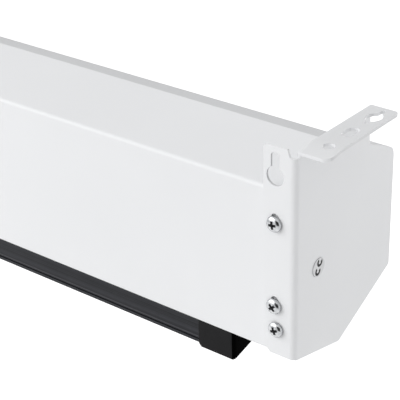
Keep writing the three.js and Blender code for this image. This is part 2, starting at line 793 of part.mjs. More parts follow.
function weightBar() {
  const { shape, chamberTop, chamberHalf } = barSection();
  let bar = solidOf(prismX(shape, -barBody, barBody));
  for (const x of bracketScrews()) {
    const hole = disc(x, 0, screwShank + 2 * fit);
    bar = bar.subtract(solidOf(prismZ(hole, barFoot - overrun, barFoot + barWall + overrun)));
  }
  place('weight_bar', 'anodized', geometryOf(bar).translate(0, fabricPlane, 0));
  const channel = (battenDiameter + 2 * hemSheet) / 2 + 2 * fit;
  const battenAxis = barTop - barWall - channel;
  place('fabric_batten', 'bearing', turnedX([
    [0, -fabricWidth / 2],
    [battenDiameter / 2, -fabricWidth / 2],
    [battenDiameter / 2, fabricWidth / 2],
    [0, fabricWidth / 2],
  ], 2 * coilSteps).translate(0, fabricPlane, battenAxis));
  const hemOuter = battenDiameter / 2 + fit + hemSheet;
  const loop = solidOf(prismX(disc(0, battenAxis, 2 * hemOuter), -fabricWidth / 2, fabricWidth / 2));
  const leg = rectangle(-hemSheet, battenAxis + hemOuter - hemSheet, hemSheet, barTop);
  const bore = disc(0, battenAxis, battenDiameter + 2 * fit);
  const hem = loop
    .add(solidOf(prismX(leg, -fabricWidth / 2, fabricWidth / 2)))
    .subtract(solidOf(prismX(bore, -fabricWidth / 2 - overrun, fabricWidth / 2 + overrun)));
  place('fabric_hem', 'blackout', geometryOf(hem).translate(0, fabricPlane, 0));
  barCaps(chamberTop, chamberHalf);
}

// Cap over the bar's end: a block with a bevelled foot and a plug in the bar's chamber
function barCaps(chamberTop, chamberHalf) {
  const half = barWidth / 2 + capProud;
  const section = outline([
    [-half, barFoot - capDrop, capProud],
    [half, barFoot - capDrop + capRise, capProud],
    [half, barTop, barCorner],
    [-half, barTop, barCorner],
  ]);
  const inner = barBody + fit;
  const outer = barLength / 2;
  let cap = solidOf(prismX(section, inner, outer));
  const bevel = outline([
    [inner - overrun, barFoot - capDrop - overrun],
    [inner + capBevel + overrun, barFoot - capDrop - overrun],
    [inner, barFoot],
    [inner - overrun, barFoot],
  ]);
  cap = cap.subtract(solidOf(prismY(bevel, -barWidth, barWidth)));
  const plan = rectangle(inner - capPlug, -half, outer, half, capCorner);
  cap = cap.intersect(solidOf(prismZ(plan, barFoot - barHeight, barTop + overrun)));
  const plug = rectangle(
    fit - chamberHalf,
    barFoot + barWall + fit,
    chamberHalf - fit,
    chamberTop - fit,
  );
  cap = cap.add(solidOf(prismX(plug, inner - capPlug, inner + capPlug / 2)));
  const geometry = geometryOf(cap).translate(0, fabricPlane, 0);
  place('bar_cap_right', 'plastic', geometry);
  place('bar_cap_left', 'plastic', mirrored(geometry));
}

// Rubber stops on the bar, which meet the belly's two lips when the screen is up
function barStops() {
  const across = (barWidth - stopDiameter) / 2 - stopEdge;
  const x = barBody - stopFromCap;
  for (const [name, side] of [['right', 1], ['left', -1]]) {
    const profile = [
      [0, 0],
      [stopDiameter / 2, 0],
      [stopDiameter / 2, stopHeight * stopRimShare],
      [stopDiameter * stopTipShare / 2, stopHeight],
      [0, stopHeight],
    ].map(([radius, along]) => new THREE.Vector2(radius, along));
    const stop = outward(new THREE.LatheGeometry(profile, 2 * coilSteps)).rotateX(Math.PI / 2);
    place(`bar_stop_${name}`, 'rubber', stop).position.set(side * x, fabricPlane - across, barTop + fit);
  }
}

// Bracket under the bar's middle, the pin in its two ears and the hinged pull handle
function pullHandle() {
  const half = bracketLength / 2;
  const baseTop = barFoot - fit;
  const baseFoot = baseTop - bracketBase;
  const base = rectangle(-half, -bracketWidth / 2, half, bracketWidth / 2, barCorner);
  let bracket = solidOf(prismZ(base, baseFoot, baseTop));
  const ear = outline([
    [-bracketWidth / 2, baseFoot + overrun / 2],
    [-earRadius, pinAxis - earRadius, earRadius / 2],
    [earRadius, pinAxis - earRadius, earRadius / 2],
    [bracketWidth / 2, baseFoot + overrun / 2],
  ]);
  const earInside = handleTongue / 2 + fit;
  for (const from of [earInside, -earInside - earThickness]) {
    bracket = bracket.add(solidOf(prismX(ear, from, from + earThickness)));
  }
  const pinHole = disc(0, pinAxis, pinDiameter + 2 * fit);
  bracket = bracket.subtract(solidOf(prismX(pinHole, -half, half, 2 * arcSteps)));
  for (const x of bracketScrews()) {
    const hole = disc(x, 0, screwShank + 2 * fit);
    bracket = bracket.subtract(solidOf(prismZ(hole, baseFoot - overrun, baseTop + overrun)));
  }
  place('handle_bracket', 'plastic', geometryOf(bracket).translate(0, fabricPlane, 0));
  const [right, left] = bracketScrews();
  for (const [name, x] of [['bracket_screw_right', right], ['bracket_screw_left', left]]) {
    const screw = place(name, 'zinc', crossScrew());
    screw.rotation.x = Math.PI / 2;
    screw.position.set(x, fabricPlane, baseFoot - fit);
  }
  const pinReach = earInside + earThickness;
  place('handle_pin', 'zinc', turnedX([
    [0, -pinReach],
    [pinDiameter / 2, -pinReach],
    [pinDiameter / 2, pinReach],
    [0, pinReach],
  ], 2 * coilSteps).translate(0, fabricPlane, pinAxis));
  const top = -handleTongueHeight;
  const grip = rectangle(-handleWidth / 2, top - handleHeight, handleWidth / 2, top, handleCorner);
  grip.holes.push(rectangle(
    handleBar - handleWidth / 2,
    top - handleHeight + handleBar,
    handleWidth / 2 - handleBar,
    top - handleBar,
    handleCorner / 2,
  ));
  const body = new THREE.ExtrudeGeometry(grip, {
    depth: handleThickness - 2 * handleBevel,
    bevelSize: handleBevel,
    bevelThickness: handleBevel,
    bevelOffset: -handleBevel,
    bevelSegments: 1,
    curveSegments: arcSteps,
  });
  body.translate(0, 0, handleBevel - handleThickness / 2).rotateX(Math.PI / 2);
  const tongue = new THREE.Shape();
  tongue.absarc(0, 0, earRadius, 0, Math.PI, false);
  tongue.lineTo(-earRadius, top - handleBar / 2);
  tongue.lineTo(earRadius, top - handleBar / 2);
  tongue.closePath();
  let handle = solidOf(body).add(solidOf(prismX(tongue, -handleTongue / 2, handleTongue / 2)));
  const bore = disc(0, 0, pinDiameter + 2 * fit);
  handle = handle.subtract(solidOf(prismX(bore, -handleTongue, handleTongue, 2 * arcSteps)));
  place('pull_handle', 'plastic', geometryOf(handle)).position.set(0, fabricPlane, pinAxis);
}

// Free length of the screen, from the roll's front side down to the bar
function fabricDrop() {
  const half = fabricSheet / 2;
  const drop = rectangle(fabricPlane - half, barTop + fit, fabricPlane + half, 0);
  place('fabric_drop', 'screen', prismX(drop, -fabricWidth / 2, fabricWidth / 2));
}

caseShell();
const rightPlate = geometryOf(endPlate());
place('end_plate_right', 'paint', rightPlate);
place('end_plate_left', 'paint', mirrored(rightPlate));
screws();
axles();
roller();
ratchet();
pawls();
springAndCollar();
weightBar();
barStops();
pullHandle();
fabricDrop();

export default screen;
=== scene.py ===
"""Pull down projector screen in a white sheet steel case: finishes, detailed pieces, studio and camera.

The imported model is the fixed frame. Sizes of pieces are millimetres in the frame of the model: X runs
along the case to the spring end, Y points from the wall into the room and Z is up. The studio's are metres.
"""
import logging
import math
from abc import ABC, abstractmethod
from dataclasses import dataclass, field
from enum import Enum
from typing import Callable, Iterable, Optional, Sequence, TypeVar, Union

import bmesh
import bpy
from mathutils import Matrix, Vector


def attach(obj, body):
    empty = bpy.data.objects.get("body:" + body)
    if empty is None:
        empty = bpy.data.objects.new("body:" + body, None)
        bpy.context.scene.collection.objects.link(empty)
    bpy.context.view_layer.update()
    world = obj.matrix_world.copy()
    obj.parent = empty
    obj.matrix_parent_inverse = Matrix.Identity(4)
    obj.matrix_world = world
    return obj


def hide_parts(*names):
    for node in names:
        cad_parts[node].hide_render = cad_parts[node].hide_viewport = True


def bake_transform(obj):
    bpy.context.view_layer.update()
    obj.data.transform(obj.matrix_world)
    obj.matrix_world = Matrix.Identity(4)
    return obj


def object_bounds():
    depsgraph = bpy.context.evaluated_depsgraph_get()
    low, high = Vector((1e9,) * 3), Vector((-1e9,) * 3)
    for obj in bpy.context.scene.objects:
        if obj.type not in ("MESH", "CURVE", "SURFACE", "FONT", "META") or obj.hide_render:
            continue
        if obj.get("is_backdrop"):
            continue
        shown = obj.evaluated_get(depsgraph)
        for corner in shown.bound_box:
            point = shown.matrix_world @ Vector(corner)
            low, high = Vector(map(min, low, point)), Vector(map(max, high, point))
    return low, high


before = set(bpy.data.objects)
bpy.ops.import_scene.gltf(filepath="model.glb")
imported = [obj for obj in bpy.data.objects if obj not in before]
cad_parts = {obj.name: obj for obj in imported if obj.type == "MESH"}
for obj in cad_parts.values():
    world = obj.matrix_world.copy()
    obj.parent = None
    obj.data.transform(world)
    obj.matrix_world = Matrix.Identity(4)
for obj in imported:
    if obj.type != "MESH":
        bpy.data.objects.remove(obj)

MM = 0.001
WHITE = (1.0, 1.0, 1.0)

# Degrees: a node's faces that turn by less than FLAT are one, edges that turn by more than CREASE stay sharp.
FLAT = 0.5
CREASE = 35.0

# Shares of a normal along an axis: past SQUARE the face is square to the axis, below ALONG it runs along it.
SQUARE = 0.9
ALONG = 0.5

# Millimetres: the distances below which corners of a node's triangles and of a blank's faces are one, and the
# margin of a cut.
NODE_WELD = 2e-3
WELD = 1e-4
CUT_MARGIN = 1e-3

LOG = logging.getLogger("projector_screen")

Pair = tuple[float, float]
Place = tuple[float, float, float]
Colour = tuple[float, float, float]
Outline = Sequence[Pair]
Socket = bpy.types.NodeSocket
Value = Union[float, Sequence[float], Socket]
Vert = bmesh.types.BMVert
Edge = bmesh.types.BMEdge
Face = bmesh.types.BMFace
Part = TypeVar("Part")


class Body(Enum):
    """Bodies of the frame that pieces ride on."""

    HOUSING = "housing"
    ROLLER = "roller"
    BAR = "bar"
    HANDLE = "handle"


class End(Enum):
    """Ends of the case, by the sign of their X."""

    RIGHT = 1
    LEFT = -1

    @property
    def word(self) -> str:
        """The end as it is written in the names of nodes."""
        return self.name.lower()


class Axis(Enum):
    """Directions of the frame."""

    X = (1.0, 0.0, 0.0)
    Y = (0.0, 1.0, 0.0)
    Z = (0.0, 0.0, 1.0)

    @property
    def vector(self) -> Vector:
        """The direction as a unit vector."""
        return Vector(self.value)


@dataclass(frozen=True)
class Grain:
    """A noise in cells to the metre, over places that may be stretched and turned."""

    cells: float
    detail: float = 3.0
    stretch: Place = (1.0, 1.0, 1.0)
    turn: Place = (0.0, 0.0, 0.0)


Grains = tuple[Grain, ...]
Gloss = tuple[int, float, float]
Bumps = tuple[tuple[int, float], ...]


class Nodes:
    """A node tree in the making."""

    def __init__(self, tree: bpy.types.NodeTree) -> None:
        """Takes the tree on."""
        self.tree = tree

    def feed(self, target: Socket, value: Value) -> None:
        """Links a socket to the target, or gives the target a plain value.

        Args:
            target: the socket to fill.
            value: a socket, a number or a colour.
        """
        if isinstance(value, bpy.types.NodeSocket):
            self.tree.links.new(value, target)
        elif target.type == "RGBA" and len(value) == 3:
            target.default_value = (*value, 1.0)
        else:
            target.default_value = value

    def add(
        self, kind: str, inputs: Sequence[tuple[Union[str, int], Value]] = (), **settings: object
    ) -> bpy.types.Node:
        """Adds a node.

        Args:
            kind: the node's type, without ShaderNode.
            inputs: pairs of a socket's name or number and what goes in it.
            settings: the node's own properties.

        Returns:
            The node.
        """
        node = self.tree.nodes.new(f"ShaderNode{kind}")
        for name, value in settings.items():
            setattr(node, name, value)
        for name, value in inputs:
            self.feed(node.inputs[name], value)
        return node

    def math(self, operation: str, first: Value, second: Value) -> Socket:
        """One step of arithmetic."""
        return self.add("Math", [(0, first), (1, second)], operation=operation).outputs[0]

    def range(self, factor: Socket, low: float, high: float, start: float = 0.3, stop: float = 0.7) -> Socket:
        """Stretches a factor so that start gives low and stop gives high."""
        source = [("Value", factor), ("From Min", start), ("From Max", stop)]
        return self.add("MapRange", [*source, ("To Min", low), ("To Max", high)]).outputs["Result"]

    def seen(self) -> Socket:
        """One for camera, glossy and transmission rays, zero for others.

        Returns:
            The factor.
        """
        path = self.add("LightPath").outputs
        polished = self.math("MAXIMUM", path["Is Camera Ray"], path["Is Glossy Ray"])
        return self.math("MAXIMUM", polished, path["Is Transmission Ray"])


class Recipe(Nodes):
    """One material's nodes round its Principled shader."""

    def __init__(self, name: str) -> None:
        """Starts a material with that name.

        Args:
            name: the material's name.
        """
        self.material = bpy.data.materials.new(name)
        self.material.use_nodes = True
        super().__init__(self.material.node_tree)
        self.shader = self.tree.nodes["Principled BSDF"]

    def set(self, **values: Value) -> None:
        """Sets or links the shader's sockets.

        Args:
            values: socket names in lower case with underscores, and a number, a colour or a socket.
        """
        for name, value in values.items():
            self.feed(self.shader.inputs[name.replace("_", " ").title().replace("Ior", "IOR")], value)

    def noise(self, grain: Grain, vector: Optional[Socket] = None) -> Socket:
        """Makes a grain's noise.

        Args:
            grain: its measures.
            vector: the places that it follows, or None for object coordinates in metres.

        Returns:
            The factor from 0 to 1.
        """
        source = self.add("TexCoord").outputs["Object"] if vector is None else vector
        inputs = [("Vector", source), ("Scale", grain.stretch), ("Rotation", grain.turn)]
        places = self.add("Mapping", inputs).outputs["Vector"]
        inputs = [("Vector", places), ("Scale", grain.cells), ("Detail", grain.detail)]
        return self.add("TexNoise", inputs).outputs["Fac"]

    def mix(self, factor: Value, first: Value, second: Value) -> Socket:
        """A colour between two colours."""
        return self.add("Mix", [(0, factor), (6, first), (7, second)], data_type="RGBA").outputs[2]

    def mean(self, first: Value, second: Value) -> Socket:
        """The mean of two factors."""
        return self.math("MULTIPLY", self.math("ADD", first, second), 0.5)

    def bump(self, *layers: tuple[Socket, float]) -> None:
        """Raises the surface by layers of height.

        Args:
            layers: pairs of a factor from 0 to 1 and its height in millimetres.
        """
        lower: list[tuple[str, Socket]] = []
        for factor, height in layers:
            inputs = [("Height", factor), ("Distance", height * MM), ("Strength", 1.0), *lower]
            lower = [("Normal", self.add("Bump", inputs).outputs["Normal"])]
        self.set(normal=lower[0][1])


@dataclass(frozen=True)
class Finish(ABC):
    """A finish in two tones that is made once and then shared by its pieces.

    Attributes:
        slot: the record's material slot.
        pale: the lighter tone.
        deep: the darker tone.
    """

    slot: str
    pale: Colour
    deep: Colour

    @abstractmethod
    def mix_into(self, recipe: Recipe) -> None:
        """Adds the finish's nodes."""

    def make(self) -> bpy.types.Material:
        """The finish as a material.

        Returns:
            The material, which a second call gives again.
        """
        name = type(self).__name__
        made = bpy.data.materials.get(name)
        if made is None:
            recipe = Recipe(name)
            self.mix_into(recipe)
            made = recipe.material
        return made


@dataclass(frozen=True)
class Grained(Finish):
    """A finish whose tone, gloss and relief follow grains of noise.

    Attributes:
        grains: the noises, which the other fields give by their number.
        rough: a grain and the roughness at its low and at its high end.
        bumps: pairs of a grain and its height in millimetres.
        tones: the grains whose mean picks the tone.
        tone_range: where in that mean the deep and the pale tone lie.
        metallic: from 0 to 1.
        specular: the level of reflection on what isn't metal.
    """

    grains: Grains
    rough: Gloss
    bumps: Bumps
    tones: tuple[int, ...] = (0,)
    tone_range: Pair = (0.3, 0.7)
    metallic: float = 0.0
    specular: float = 0.5

    def mix_into(self, recipe: Recipe) -> None:
        """Adds the grains and leads them into the shader.

        Args:
            recipe: the material's nodes.
        """
        made = [recipe.noise(grain) for grain in self.grains]
        tone = made[self.tones[0]]
        for number in self.tones[1:]:
            tone = recipe.mean(tone, made[number])
        number, low, high = self.rough
        recipe.set(
            base_color=recipe.mix(recipe.range(tone, 0.0, 1.0, *self.tone_range), self.deep, self.pale),
            roughness=recipe.range(made[number], low, high),
            metallic=self.metallic,
            specular_ior_level=self.specular,
        )
        recipe.bump(*((made[number], height) for number, height in self.bumps))


@dataclass(frozen=True)
class PowderCoat(Grained):
    """Satin white powder coat: cloudy tone, faint orange peel and slightly uneven gloss."""

    slot: str = "case_paint"
    pale: Colour = (0.85, 0.858, 0.872)
    deep: Colour = (0.826, 0.834, 0.848)
    grains: Grains = (Grain(9.0, 2.0), Grain(420.0, 2.0), Grain(2600.0, 1.0))
    rough: Gloss = (1, 0.46, 0.56)
    bumps: Bumps = ((1, 0.006), (2, 0.0015))
    specular: float = 0.2


@dataclass(frozen=True)
class ThinCoat(PowderCoat):
    """Powder coat darkened as painted shade on the walls of punched holes and notches that face outwards or
    up.
    """

    pale: Colour = (0.66, 0.665, 0.675)
    deep: Colour = (0.59, 0.595, 0.605)


@dataclass(frozen=True)
class GreyCoat(PowderCoat):
    """Powder coat made slightly greyer as painted shade on the ceiling strips and on the case's sloped top
    edge.
    """

    pale: Colour = (0.762, 0.769, 0.782)
    deep: Colour = (0.741, 0.748, 0.760)


@dataclass(frozen=True)
class ZincPlate(Grained):
    """Bright zinc plate on turned and pressed steel, slightly clouded, with fine handling marks."""

    slot: str = "zinc_plate"
    pale: Colour = (0.60, 0.61, 0.62)
    deep: Colour = (0.38, 0.39, 0.405)
    grains: Grains = (
        Grain(700.0, 4.0),
        Grain(1.0, 2.0, (400.0, 3000.0, 900.0), (0.3, 0.5, 0.2)),
    )
    rough: Gloss = (1, 0.13, 0.24)
    bumps: Bumps = ((0, 0.01), (1, 0.004))
    metallic: float = 1.0


@dataclass(frozen=True)
class RecessZinc(ZincPlate):
    """Zinc darkened as painted shade inside a pressed recess and as a painted shadow line under a screw
    head's rim, rough and clouded.
    """

    pale: Colour = (0.20, 0.20, 0.21)
    deep: Colour = (0.10, 0.10, 0.105)
    grains: Grains = (Grain(900.0, 4.0),)
    rough: Gloss = (0, 0.35, 0.6)
    bumps: Bumps = ((0, 0.01),)
    metallic: float = 0.7


@dataclass(frozen=True)
class DullZinc(ZincPlate):
    """Zinc plate with a dull, pale, chalky passivation, as on the axles."""

    pale: Colour = (0.72, 0.725, 0.735)
    deep: Colour = (0.60, 0.605, 0.62)
    grains: Grains = (Grain(500.0, 4.0), Grain(2500.0, 2.0))
    rough: Gloss = (1, 0.5, 0.64)
    bumps: Bumps = ((0, 0.01), (1, 0.006))
    metallic: float = 0.15


@dataclass(frozen=True)
class DrawnSteel(Grained):
    """Plain drawn steel: cloudy tone, draw lines along the case and uneven gloss."""

    slot: str = "bare_steel"
    pale: Colour = (0.60, 0.61, 0.62)
    deep: Colour = (0.42, 0.43, 0.45)
    grains: Grains = (Grain(60.0), Grain(1.0, 3.0, (20.0, 2500.0, 2500.0)))
    rough: Gloss = (1, 0.26, 0.42)
    bumps: Bumps = ((1, 0.01),)
    metallic: float = 1.0


@dataclass(frozen=True)
class BlackSteel(DrawnSteel):
    """Steel pins with a black oxide and faint marks of drawing."""

    pale: Colour = (0.012, 0.012, 0.013)
    deep: Colour = (0.004, 0.004, 0.0045)
    grains: Grains = (Grain(1.0, 3.0, (30.0, 1800.0, 1800.0)),)
    rough: Gloss = (0, 0.4, 0.55)
    bumps: Bumps = ((0, 0.01),)
    metallic: float = 0.0
    specular: float = 0.15


@dataclass(frozen=True)
class SpringSteel(Grained):
    """Dark spring wire with patches of oil."""

    slot: str = "spring_steel"
    pale: Colour = (0.40, 0.39, 0.37)
    deep: Colour = (0.22, 0.22, 0.23)
    grains: Grains = (Grain(180.0),)
    rough: Gloss = (0, 0.22, 0.4)
    bumps: Bumps = ((0, 0.01),)
    metallic: float = 1.0


@dataclass(frozen=True)
class AnodizedBar(Grained):
    """Charcoal anodized extrusion with broad and fine die lines along its length."""

    slot: str = "bar_anodized"
    pale: Colour = (0.0322, 0.0334, 0.0395)
    deep: Colour = (0.0132, 0.0139, 0.0165)
    grains: Grains = (
        Grain(1.0, 2.0, (0.6, 520.0, 520.0)),
        Grain(1.0, 2.0, (3.0, 1700.0, 1700.0)),
        Grain(45.0),
    )
    rough: Gloss = (2, 0.42, 0.54)
    bumps: Bumps = ((0, 0.03), (1, 0.012))
    tones: tuple[int, ...] = (0, 1)
    tone_range: Pair = (0.38, 0.62)
    metallic: float = 0.2
    specular: float = 0.15


@dataclass(frozen=True)
class RawCut(AnodizedBar):
    """Bare aluminium at the bar's sawn ends, dulled by handling."""

    pale: Colour = (0.16, 0.16, 0.165)
    deep: Colour = (0.08, 0.08, 0.084)


@dataclass(frozen=True)
class RubbedEdge(AnodizedBar):
    """Charcoal painted paler as a highlight on the upward slope of a ridge."""

    pale: Colour = (0.062, 0.063, 0.070)
    deep: Colour = (0.044, 0.045, 0.050)


@dataclass(frozen=True)
class MouldedPlastic(Grained):
    """Black moulded plastic with faint flow marks, a fine spark grain and a satin sheen."""

    slot: str = "black_plastic"
    pale: Colour = (0.009, 0.009, 0.010)
    deep: Colour = (0.005, 0.005, 0.006)
    grains: Grains = (Grain(70.0, 3.0, (1.0, 3.0, 1.0)), Grain(2400.0, 2.0))
    rough: Gloss = (1, 0.46, 0.6)
    bumps: Bumps = ((1, 0.02), (0, 0.01))
    specular: float = 0.11


@dataclass(frozen=True)
class DeepPlastic(MouldedPlastic):
    """The same plastic darkened to jet black as painted shade on the caps' outward ends, very fine grained
    and dull.
    """

    pale: Colour = (0.0012, 0.0012, 0.0013)
    deep: Colour = (0.0006, 0.0006, 0.0006)
    grains: Grains = (Grain(2000.0, 2.0),)
    rough: Gloss = (0, 0.6, 0.72)
    bumps: Bumps = ((0, 0.01),)
    specular: float = 0.005


@dataclass(frozen=True)
class Nylon(Grained):
    """Natural moulded nylon, milky and slightly yellow."""

    slot: str = "nylon"
    pale: Colour = (0.80, 0.79, 0.74)
    deep: Colour = (0.70, 0.68, 0.61)
    grains: Grains = (Grain(90.0), Grain(1800.0, 1.0))
    rough: Gloss = (0, 0.4, 0.52)
    bumps: Bumps = ((1, 0.01),)
    milk: float = 0.15
    milk_depth: float = 0.002

    def mix_into(self, recipe: Recipe) -> None:
        """Adds the light that spreads below the surface."""
        super().mix_into(recipe)
        recipe.set(subsurface_weight=self.milk, subsurface_scale=self.milk_depth)


@dataclass(frozen=True)
class StopRubber(Grained):
    """Matt black rubber, dusty and slightly porous."""

    slot: str = "stop_rubber"
    pale: Colour = (0.030, 0.030, 0.031)
    deep: Colour = (0.016, 0.016, 0.016)
    grains: Grains = (Grain(500.0, 4.0), Grain(3000.0, 1.0))
    rough: Gloss = (0, 0.78, 0.92)
    bumps: Bumps = ((1, 0.02),)


@dataclass(frozen=True)
class ScreenFace(Finish):
    """Matt white viewing side of the cloth, with its black border and a fine emboss.

    The pattern follows the cloth's cut map, in metres across from the middle and up from the bar.
    """

    slot: str = "screen_fabric"
    pale: Colour = (0.84, 0.84, 0.835)
    deep: Colour = (0.826, 0.826, 0.818)
    border: Colour = (0.014, 0.014, 0.015)
    picture: Pair = (1.463, 1.097)
    lower_border: float = 0.035
    cloud: Grain = Grain(12.0)
    rough: Pair = (0.82, 0.92)
    specular: float = 0.25
    emboss: float = 0.02
    threads: float = 75.0
    ragged: float = 0.4
    cut_map: str = "cut"

    def cut(self, recipe: Recipe) -> Socket:
        """Reads the cut map."""
        return recipe.add("UVMap", uv_map=self.cut_map).outputs["UV"]

    def weave(self, recipe: Recipe) -> list[Socket]:
        """Threads one way and the other, as heights.

        Args:
            recipe: the material's nodes.

        Returns:
            The two factors.
        """
        inputs = [("Vector", self.cut(recipe)), ("Scale", self.threads), ("Distortion", self.ragged)]
        waves = [recipe.add("TexWave", [*inputs, ("Detail", 1.0)], bands_direction=way) for way in ("X", "Y")]
        return [wave.outputs["Fac"] for wave in waves]

    def framed(self, recipe: Recipe) -> Socket:
        """One inside the picture, zero on its border.

        Args:
            recipe: the material's nodes.

        Returns:
            The factor.
        """
        split = recipe.add("SeparateXYZ", [("Vector", self.cut(recipe))]).outputs
        width, height = self.picture
        inside = recipe.math("LESS_THAN", recipe.math("ABSOLUTE", split["X"], 0.0), width / 2)
        above = recipe.math("GREATER_THAN", split["Y"], self.lower_border)
        below = recipe.math("LESS_THAN", split["Y"], self.lower_border + height)
        return recipe.math("MULTIPLY", recipe.math("MULTIPLY", inside, above), below)

    def mix_into(self, recipe: Recipe) -> None:
        """Adds the emboss, the white picture and its black border.

        Args:
            recipe: the material's nodes.
        """
        cloud = recipe.noise(self.cloud, self.cut(recipe))
        white = recipe.mix(recipe.range(cloud, 0.0, 1.0), self.deep, self.pale)
        recipe.set(
            base_color=recipe.mix(self.framed(recipe), self.border, white),
            roughness=recipe.range(cloud, *self.rough),
            specular_ior_level=self.specular,
        )
        recipe.bump(*((thread, self.emboss) for thread in self.weave(recipe)))


@dataclass(frozen=True)
class ScreenBack(ScreenFace):
    """Black coated back that stops the light, with the weave showing through."""

    pale: Colour = (0.026, 0.026, 0.028)
    deep: Colour = (0.014, 0.014, 0.015)
    rough: Pair = (0.66, 0.8)
    specular: float = 0.5
    emboss: float = 0.05

    def mix_into(self, recipe: Recipe) -> None:
        """Adds the weave and the coat's two tones on it.

        Args:
            recipe: the material's nodes.
        """
        threads = self.weave(recipe)
        tone = recipe.mean(*threads)
        recipe.set(
            base_color=recipe.mix(tone, self.deep, self.pale),
            roughness=recipe.range(tone, *self.rough),
            specular_ior_level=self.specular,
        )
        recipe.bump(*((thread, self.emboss) for thread in threads))


def only(kind: type[Part], parts: Iterable[object]) -> list[Part]:
    """The parts of one kind out of an operator's result."""
    return [part for part in parts if isinstance(part, kind)]


def quarter(axis: Axis, turns: float = 1.0) -> Matrix:
    """A turn about an axis by a number of quarters."""
    return Matrix.Rotation(math.pi / 2 * turns, 3, axis.vector)


def arc(radius: float, start: float, sweep: float, steps: int) -> list[Pair]:
    """Places on a circle round the origin.

    Args:
        radius: of the circle.
        start: angle of the first place, in radians.
        sweep: angle from there to the last one.
        steps: how many steps the sweep has.

    Returns:
        The places, one more than the steps.
    """
    angles = [start + sweep * step / steps for step in range(steps + 1)]
    return [(radius * math.cos(angle), radius * math.sin(angle)) for angle in angles]


